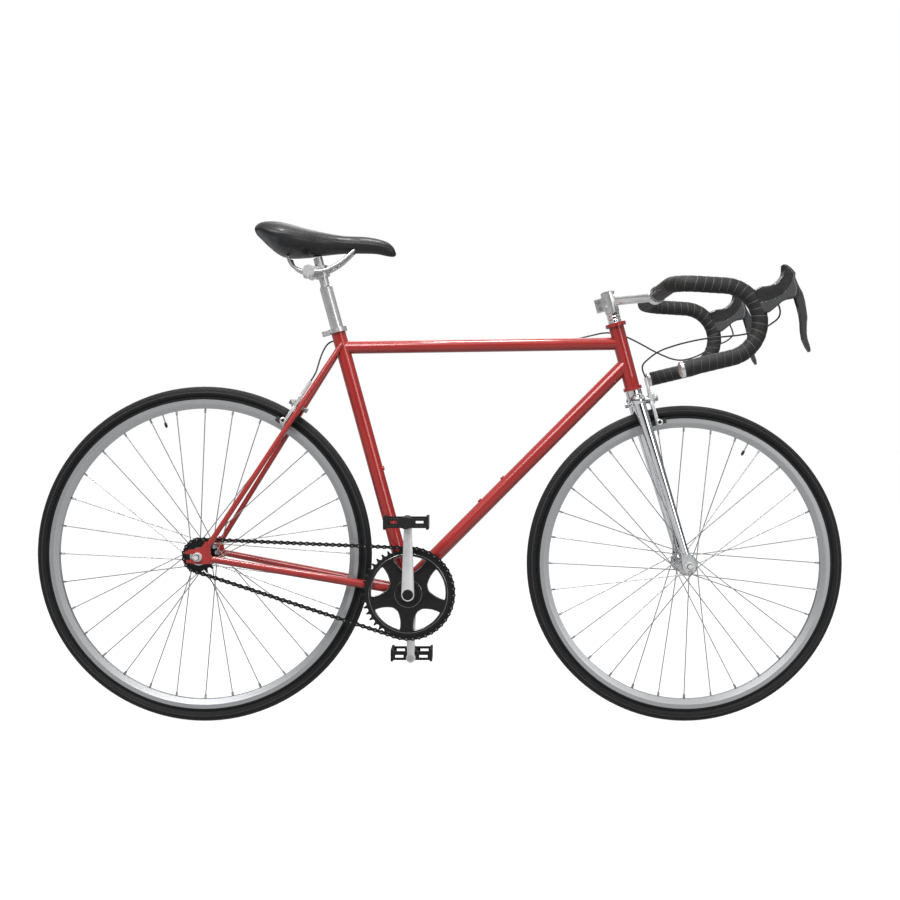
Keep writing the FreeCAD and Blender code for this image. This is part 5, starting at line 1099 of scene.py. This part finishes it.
class BICYCLE_OT_chain(bpy.types.Operator):
    """Lay the chain's waisted links and their pins round both sprockets"""

    bl_idname = "bicycle.chain"
    bl_label = "Chain"

    def execute(self, context):
        places = chain_pins()
        pairs = list(zip(places, places[1:] + places[:1]))
        middles = [a.lerp(b, 0.5) for a, b in pairs]
        turns = [(0, -math.atan2(b.z - a.z, b.x - a.x), 0) for a, b in pairs]
        near = LINK_INSIDE / 2
        outer = near + LINK_PLATE + LINK_CLEARANCE
        inner_link = chain_link("inner_link", near, (CHAIN_PITCH / 2, -CHAIN_PITCH / 2))
        outer_link = chain_link("outer_link", outer)
        ways = [Vector((0, 1, 0))] * CHAIN_LINKS
        length = 2 * (outer + LINK_PLATE) + PIN_STANDS_OUT
        for piece in (
            repeated("chain_inner_links", middles[0::2], turns[0::2], inner_link, "chain"),
            repeated("chain_outer_links", middles[1::2], turns[1::2], outer_link, "chain"),
            pins("chain_pins", places, ways, length, PIN_RADIUS, 12, "pin"),
        ):
            settled(piece, NODES["chain"]["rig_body"], "chain")
        return {"FINISHED"}


ROLLER_SEAT = 0.0040
TOOTH_HEIGHT = 0.0033
TOOTH_TIP_HALF = 0.0012
RING_HALF = 0.0015
RING_INSIDE = 0.077
RING_EDGE = 0.0005
SPIDER_RADIUS = 0.0785
SPIDER_RISE = 0.0015
SPIDER_EDGE = 0.0014
SPIDER_BORE = 0.0181
BOSS_RADIUS = 0.0275
BOSS_RISE = 0.0035
BOSS_EDGE = 0.0009
# How far across the bicycle a bright chamfer's face looks
CHAMFER_SLANT = (0.2, 0.97)
WINDOWS = 5
FIRST_WINDOW = math.radians(15.5)
WINDOW_STEP = 0.0012
# One side of a window: distance from the axle, and degrees from the window's middle
WINDOW = (
    (0.0405, 0), (0.0407, 5), (0.0418, 9), (0.0443, 13), (0.0485, 17.2), (0.0555, 21.8), (0.0635, 24.0),
    (0.0690, 24.8), (0.0722, 25.0), (0.0728, 22), (0.0730, 14), (0.0731, 6), (0.0731, 0),
)


def ring_teeth():
    """The toothed edge, with a round seat for each roller."""
    points = []
    for i in range(RING_TEETH):
        angle = UPPER_TURN + math.tau * i / RING_TEETH
        roller = spot(angle, RING_RADIUS)
        for turn in np.linspace(95, 265, 9):
            points.append(spot(angle - math.radians(turn), ROLLER_SEAT, roller))
        for side in (-1, 1):
            turn = angle + math.pi / RING_TEETH + side * TOOTH_TIP_HALF / RING_RADIUS
            points.append(spot(turn, RING_RADIUS + TOOTH_HEIGHT))
    return flat(points)


def ring_window(middle):
    """One window's outline about its middle angle."""
    loop = WINDOW + tuple((radius, -degrees) for radius, degrees in reversed(WINDOW[:-1]))
    corners = [spot(middle + math.radians(degrees), radius) for radius, degrees in loop]
    return flat(eased(corners, WINDOW_STEP)[:-1])


class BICYCLE_OT_chainring(bpy.types.Operator):
    """Cut the chainring: teeth, a raised spider with five windows and a boss"""

    bl_idname = "bicycle.chainring"
    bl_label = "Chainring"

    def execute(self, context):
        near, far = CHAIN_PLANE - RING_HALF, CHAIN_PLANE + RING_HALF
        raised, top = near - SPIDER_RISE, near - BOSS_RISE
        bore = circle(SPIDER_BORE, 64)
        windows = [ring_window(FIRST_WINDOW + math.tau * i / WINDOWS) for i in range(WINDOWS)]
        teeth = plate("ring_teeth", [ring_teeth(), circle(RING_INSIDE, 96)], near, far, RING_EDGE, "ring")
        outlines = [circle(SPIDER_RADIUS, 144), bore, *windows]
        spider = plate("ring_spider", outlines, raised, far, SPIDER_EDGE, "ring")
        boss = plate("ring_boss", [circle(BOSS_RADIUS, 96), bore], top, raised, BOSS_EDGE, "ring")
        for piece in (teeth, spider, boss):
            piece.data.materials.append(FINISHES["ring_edge"])
            settled(piece, NODES["chainring"]["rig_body"], "chainring")
        for piece in (spider, boss):
            for face in piece.data.polygons:
                face.material_index = int(CHAMFER_SLANT[0] < abs(face.normal.y) < CHAMFER_SLANT[1])
        return {"FINISHED"}


# The lower edge of the rubber cover, forward and up in metres
COVER_EDGE = (
    (0.56, 0.806), (0.6063, 0.8175), (0.6118, 0.8183), (0.6259, 0.826), (0.637, 0.8364), (0.6447, 0.8498),
    (0.6482, 0.8638), (0.6524, 0.8693), (0.70, 0.88),
)
# The hood's side outline, forward and up in metres: concave back, horn, front edge and underside
HOOD_BACK = (
    (0.5765, 0.8365), (0.5908, 0.8425), (0.6034, 0.8437), (0.6147, 0.8478), (0.6229, 0.8542),
    (0.6286, 0.8613), (0.6311, 0.8693), (0.6312, 0.8835), (0.6383, 0.8818), (0.646, 0.8762),
    (0.6538, 0.8668), (0.6527, 0.8605),
)
HOOD_FRONT = ((0.6560, 0.8495), (0.6586, 0.8399), (0.6575, 0.8300), (0.6538, 0.8215))
HOOD_UNDER = (
    (0.6397, 0.8190), (0.6300, 0.8148), (0.6202, 0.8064), (0.6063, 0.7950), (0.5900, 0.7935), (0.5765, 0.8),
)
SLOT_WALL = ((0.6393, 0.8605), (0.6393, 0.8195))
HOOD_HALF = 0.0138
SLOT_HALF = 0.0088
HOOD_ROUND = 0.0048
HOOD_STEP = 0.0012
# Size of the skin's cells and rounds of smoothing
HOOD_SKIN = (0.0009, 16)
BLADE_SKIN = (0.0008, 6)


def rounding(face, inwards, rounded):
    """Places across the bicycle and insets there, from a face to where its rounded edge ends."""
    turns = np.linspace(math.pi / 2, 0, 6) if rounded else []
    edge = [(face + inwards * HOOD_ROUND * (1 - math.sin(t)), HOOD_ROUND * (1 - math.cos(t))) for t in turns]
    return edge or [(face, 0.0)]


def cushion(outline, low, high, round_low=True, round_high=True):
    """Rings of a shape drawn from the side, with its edges rounded on one side or both."""
    ring = [Vector((x, 0, z)) for x, z in outline]
    ring = resampled(ring + ring[:1], HOOD_STEP)[:-1]
    inward = []
    for i in range(len(ring)):
        along = (ring[(i + 1) % len(ring)] - ring[i - 1]).normalized()
        inward.append(Vector((along.z, 0, -along.x)))
    levels = rounding(low, 1, round_low) + rounding(high, -1, round_high)[::-1]
    rows = list(zip(ring, inward))
    return [[point + way * inset + Vector((0, y, 0)) for point, way in rows] for y, inset in levels]


def skinned(rough, name, voxel, rounds):
    """A smooth skin over a rough shape, which it takes the place of."""
    skin = rough.modifiers.new("skin", "REMESH")
    skin.mode = "VOXEL"
    skin.voxel_size = voxel
    smooth = rough.modifiers.new("smooth", "SMOOTH")
    smooth.factor = 0.5
    smooth.iterations = rounds
    made = baked(rough, name)
    shaded(made.data)
    return made


def hood(side):
    """One hood: a body behind the lever and a cheek on each side of it."""
    name = ("left" if side > 0 else "right") + "_hood"
    middle = side * BAR_HALF
    low, high = middle - HOOD_HALF, middle + HOOD_HALF
    whole = HOOD_BACK + HOOD_FRONT + HOOD_UNDER
    shapes = [
        cushion(HOOD_BACK + SLOT_WALL + HOOD_UNDER, low, high),
        cushion(whole, low, middle - SLOT_HALF, round_high=False),
        cushion(whole, middle + SLOT_HALF, high, round_low=False),
    ]
    return skinned(shell(name + "_rough", shapes, "hood"), name, *HOOD_SKIN)


class BICYCLE_OT_levers(bpy.types.Operator):
    """Mould the brake hoods and lever blades"""

    bl_idname = "bicycle.levers"
    bl_label = "Hoods and levers"

    def execute(self, context):
        forward, up = zip(*COVER_EDGE)
        for side in (1, -1):
            made = hood(side)
            layer = made.data.attributes.new("below", "FLOAT", "POINT")
            heights = [float(np.interp(v.co.x, forward, up)) - v.co.z for v in made.data.vertices]
            layer.data.foreach_set("value", heights)
            coat(made.data, "hood")
            settled(made, "steering", "brake_hoods")
        for node in ("right_lever", "left_lever"):
            rough = link(node + "_copy", NODES[node].data.copy())
            blade = skinned(rough, node + "_blade", *BLADE_SKIN)
            coat(blade.data, "lever")
            settled(blade, NODES[node]["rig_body"], node)
        return {"FINISHED"}


# Solids with rounded edges: finish and edge radius
CALIPER_ARMS = [wheel + "_brake_" + side + "_arm" for wheel in WHEELS for side in ("right", "left")]
ROUNDED = {"crank_arms": ("crank", 0.002), "stem": ("polished", 0.0015)}
ROUNDED.update(dict.fromkeys(CALIPER_ARMS, ("caliper", 0.0012)))
# The black root of the crank, and the block of a caliper arm that is its shoe
ROOT_RADIUS = 0.0188
ROOT_ASIDE = 0.0519
SHOE_ASIDE = 0.0185
SHOE_HEIGHT = 0.034
# Along the shoe bolt's washer from the arm outwards, and its radius there
BOLT_WASHER = (
    (0, 0.0062), (0.0036, 0.0062), (0.0044, 0.0054), (0.0044, 0.0036), (0.003, 0.003), (0.003, 0.0003),
)
# Radius of the washer's hollow, which is painted black as shade
BOLT_PAINTED_SHADE_RADIUS = 0.0031
BOLT_SINK = 0.002
BOLT_SEAT = 0.008
STAY_THINNER = 0.001


def darkened(made, finish, chosen):
    """Puts a second finish on the chosen faces, and gives their middles."""
    made.data.materials.append(FINISHES[finish])
    faces = [face for face in made.data.polygons if chosen(face.center)]
    for face in faces:
        face.material_index = 1
    return [face.center for face in faces]


def add_bolt(arm, node):
    """Black rubber on an arm's shoe, and a round washer outside it with painted shade in its hollow."""
    top = min(v.co.z for v in arm.data.vertices) + SHOE_HEIGHT
    shoe = darkened(arm, "shoe", lambda place: abs(place.y) < SHOE_ASIDE and place.z < top)
    middle = Vector((np.min(shoe, axis=0) + np.max(shoe, axis=0)) / 2)
    side = math.copysign(1, middle.y)
    outside = max(side * v.co.y for v in arm.data.vertices if reach(v.co, middle) < BOLT_SEAT)
    start = Vector((middle.x, side * (outside - BOLT_SINK), middle.z))
    name = node.replace("_arm", "_shoe_bolt")
    bolt = turned(name, start, Vector((0, side, 0)), BOLT_WASHER, "caliper", 28)
    # painted shade: the washer's hollow takes the black finish
    darkened(bolt, "black", lambda place: reach(place, middle) < BOLT_PAINTED_SHADE_RADIUS)
    settled(bolt, arm["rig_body"])


class BICYCLE_OT_soft_edges(bpy.types.Operator):
    """Round the edges of the plate-like pieces, slim the stays and bolt on the shoes"""

    bl_idname = "bicycle.soft_edges"
    bl_label = "Soft edges"

    def execute(self, context):
        for node, (finish, radius) in ROUNDED.items():
            made = softened(copied(node, node + "_rounded", finish), radius)
            if node in CALIPER_ARMS:
                add_bolt(made, node)
            if node == "crank_arms":
                darkened(made, "black", lambda place: (
                    abs(place.y) < ROOT_ASIDE and reach(place, BRACKET) < ROOT_RADIUS))
        stays = clean(copied("seat_stays", "slim_seat_stays", "red"))
        normals = [vert.normal.copy() for vert in stays.data.vertices]
        for vert, normal in zip(stays.data.vertices, normals):
            vert.co -= normal * STAY_THINNER
        return {"FINISHED"}


FLOOR_REACH = 30
CAMERA_PLACE = Vector((0.0603, -2.4, 0.5752))
CAMERA_SENSOR = 36
CAMERA_LENS = 48
CAMERA_SHIFT = (-20 / 900, -17 / 900)
LIGHT_AIM = Vector((0, 0, 0.5))
# Name, place, size and power
LIGHTS = (
    ("key_light", (-1.0, -2.6, 3.0), 1.6, 90),
    ("fill_light", (2.4, -2.8, 1.2), 1.4, 26),
    ("top_light", (0.1, -0.5, 3.0), 0.5, 40),
    ("rim_light", (0.3, 2.4, 3.0), 2.0, 30),
)


def add_floor():
    corners = [(x * FLOOR_REACH, y * FLOOR_REACH, 0) for x, y in ((-1, -1), (1, -1), (1, 1), (-1, 1))]
    finish = Finish("pale_floor")
    cloud = finish.noise(0.7, 2.0)
    mirrored = finish.start.ray("Is Glossy Ray").mix(0.0, 0.45)
    glow = finish.start.ray("Is Camera Ray").mix(mirrored, 0.93)
    finish.set(base_color=cloud.mix(0.17, 0.19), roughness=0.9, emission_color=glow, emission_strength=1.0)
    FINISHES["floor"] = finish.dull(0.0).material
    mesh_object("floor", corners, [(0, 1, 2, 3)], "floor", smooth=False)


def add_light(scene):
    scene.world = bpy.data.worlds.new("studio")
    scene.world.use_nodes = True
    tree = scene.world.node_tree
    start = Flow(tree)
    up = start.node("ShaderNodeTexCoord", output="Generated").part("Z")
    low = up.step(0.10, 0.5).mix(0.04, 0.7)
    sky = start.ray("Is Camera Ray").mix(up.step(0.6, 0.95).mix(low, 0.45), 1.0)
    tree.links.new(sky.socket, tree.nodes["Background"].inputs["Color"])
    for name, place, size, power in LIGHTS:
        lamp = link(name, bpy.data.lights.new(name, "AREA"))
        lamp.data.size = size
        lamp.data.energy = power
        lamp.location = place
        lamp.rotation_euler = (LIGHT_AIM - Vector(place)).to_track_quat("-Z", "Y").to_euler()


class BICYCLE_OT_stage(bpy.types.Operator):
    """Floor, light and camera"""

    bl_idname = "bicycle.stage"
    bl_label = "Stage"

    def execute(self, context):
        scene = context.scene
        scene.view_settings.view_transform = "Standard"
        add_floor()
        add_light(scene)
        scene.camera = link("camera", bpy.data.cameras.new("camera"))
        scene.camera.location = CAMERA_PLACE
        scene.camera.rotation_euler = (math.pi / 2, 0, 0)
        lens = scene.camera.data
        lens.sensor_width = CAMERA_SENSOR
        lens.lens = CAMERA_LENS
        lens.shift_x, lens.shift_y = CAMERA_SHIFT
        return {"FINISHED"}


class BICYCLE_PT_looks(bpy.types.Panel):
    """Sidebar panel with one button for each step"""

    bl_idname = "BICYCLE_PT_looks"
    bl_label = "Bicycle looks"
    bl_space_type = "VIEW_3D"
    bl_region_type = "UI"
    bl_category = "Bicycle"

    def draw(self, context):
        looks = context.scene.bicycle_looks
        for name in looks.bl_rna.properties.keys():
            if name not in {"rna_type", "name"}:
                self.layout.prop(looks, name)
        for step in STEPS:
            self.layout.operator(step.bl_idname)


STEPS = (
    BICYCLE_OT_finishes, BICYCLE_OT_saddle, BICYCLE_OT_bar_tape, BICYCLE_OT_cables, BICYCLE_OT_wheel_details,
    BICYCLE_OT_valves, BICYCLE_OT_chain, BICYCLE_OT_chainring, BICYCLE_OT_levers, BICYCLE_OT_soft_edges,
    BICYCLE_OT_stage,
)
CLASSES = (BicycleLooks, *STEPS, BICYCLE_PT_looks)


def register():
    for item in CLASSES:
        bpy.utils.register_class(item)
    bpy.types.Scene.bicycle_looks = bpy.props.PointerProperty(type=BicycleLooks)


def unregister():
    del bpy.types.Scene.bicycle_looks
    for item in reversed(CLASSES):
        bpy.utils.unregister_class(item)


def main():
    register()
    bpy.ops.bicycle.finishes()
    bpy.ops.bicycle.saddle()
    bpy.ops.bicycle.bar_tape()
    bpy.ops.bicycle.cables()
    bpy.ops.bicycle.wheel_details()
    bpy.ops.bicycle.valves()
    bpy.ops.bicycle.chain()
    bpy.ops.bicycle.chainring()
    bpy.ops.bicycle.levers()
    bpy.ops.bicycle.soft_edges()
    bpy.ops.bicycle.stage()


if __name__ == "__main__":
    main()
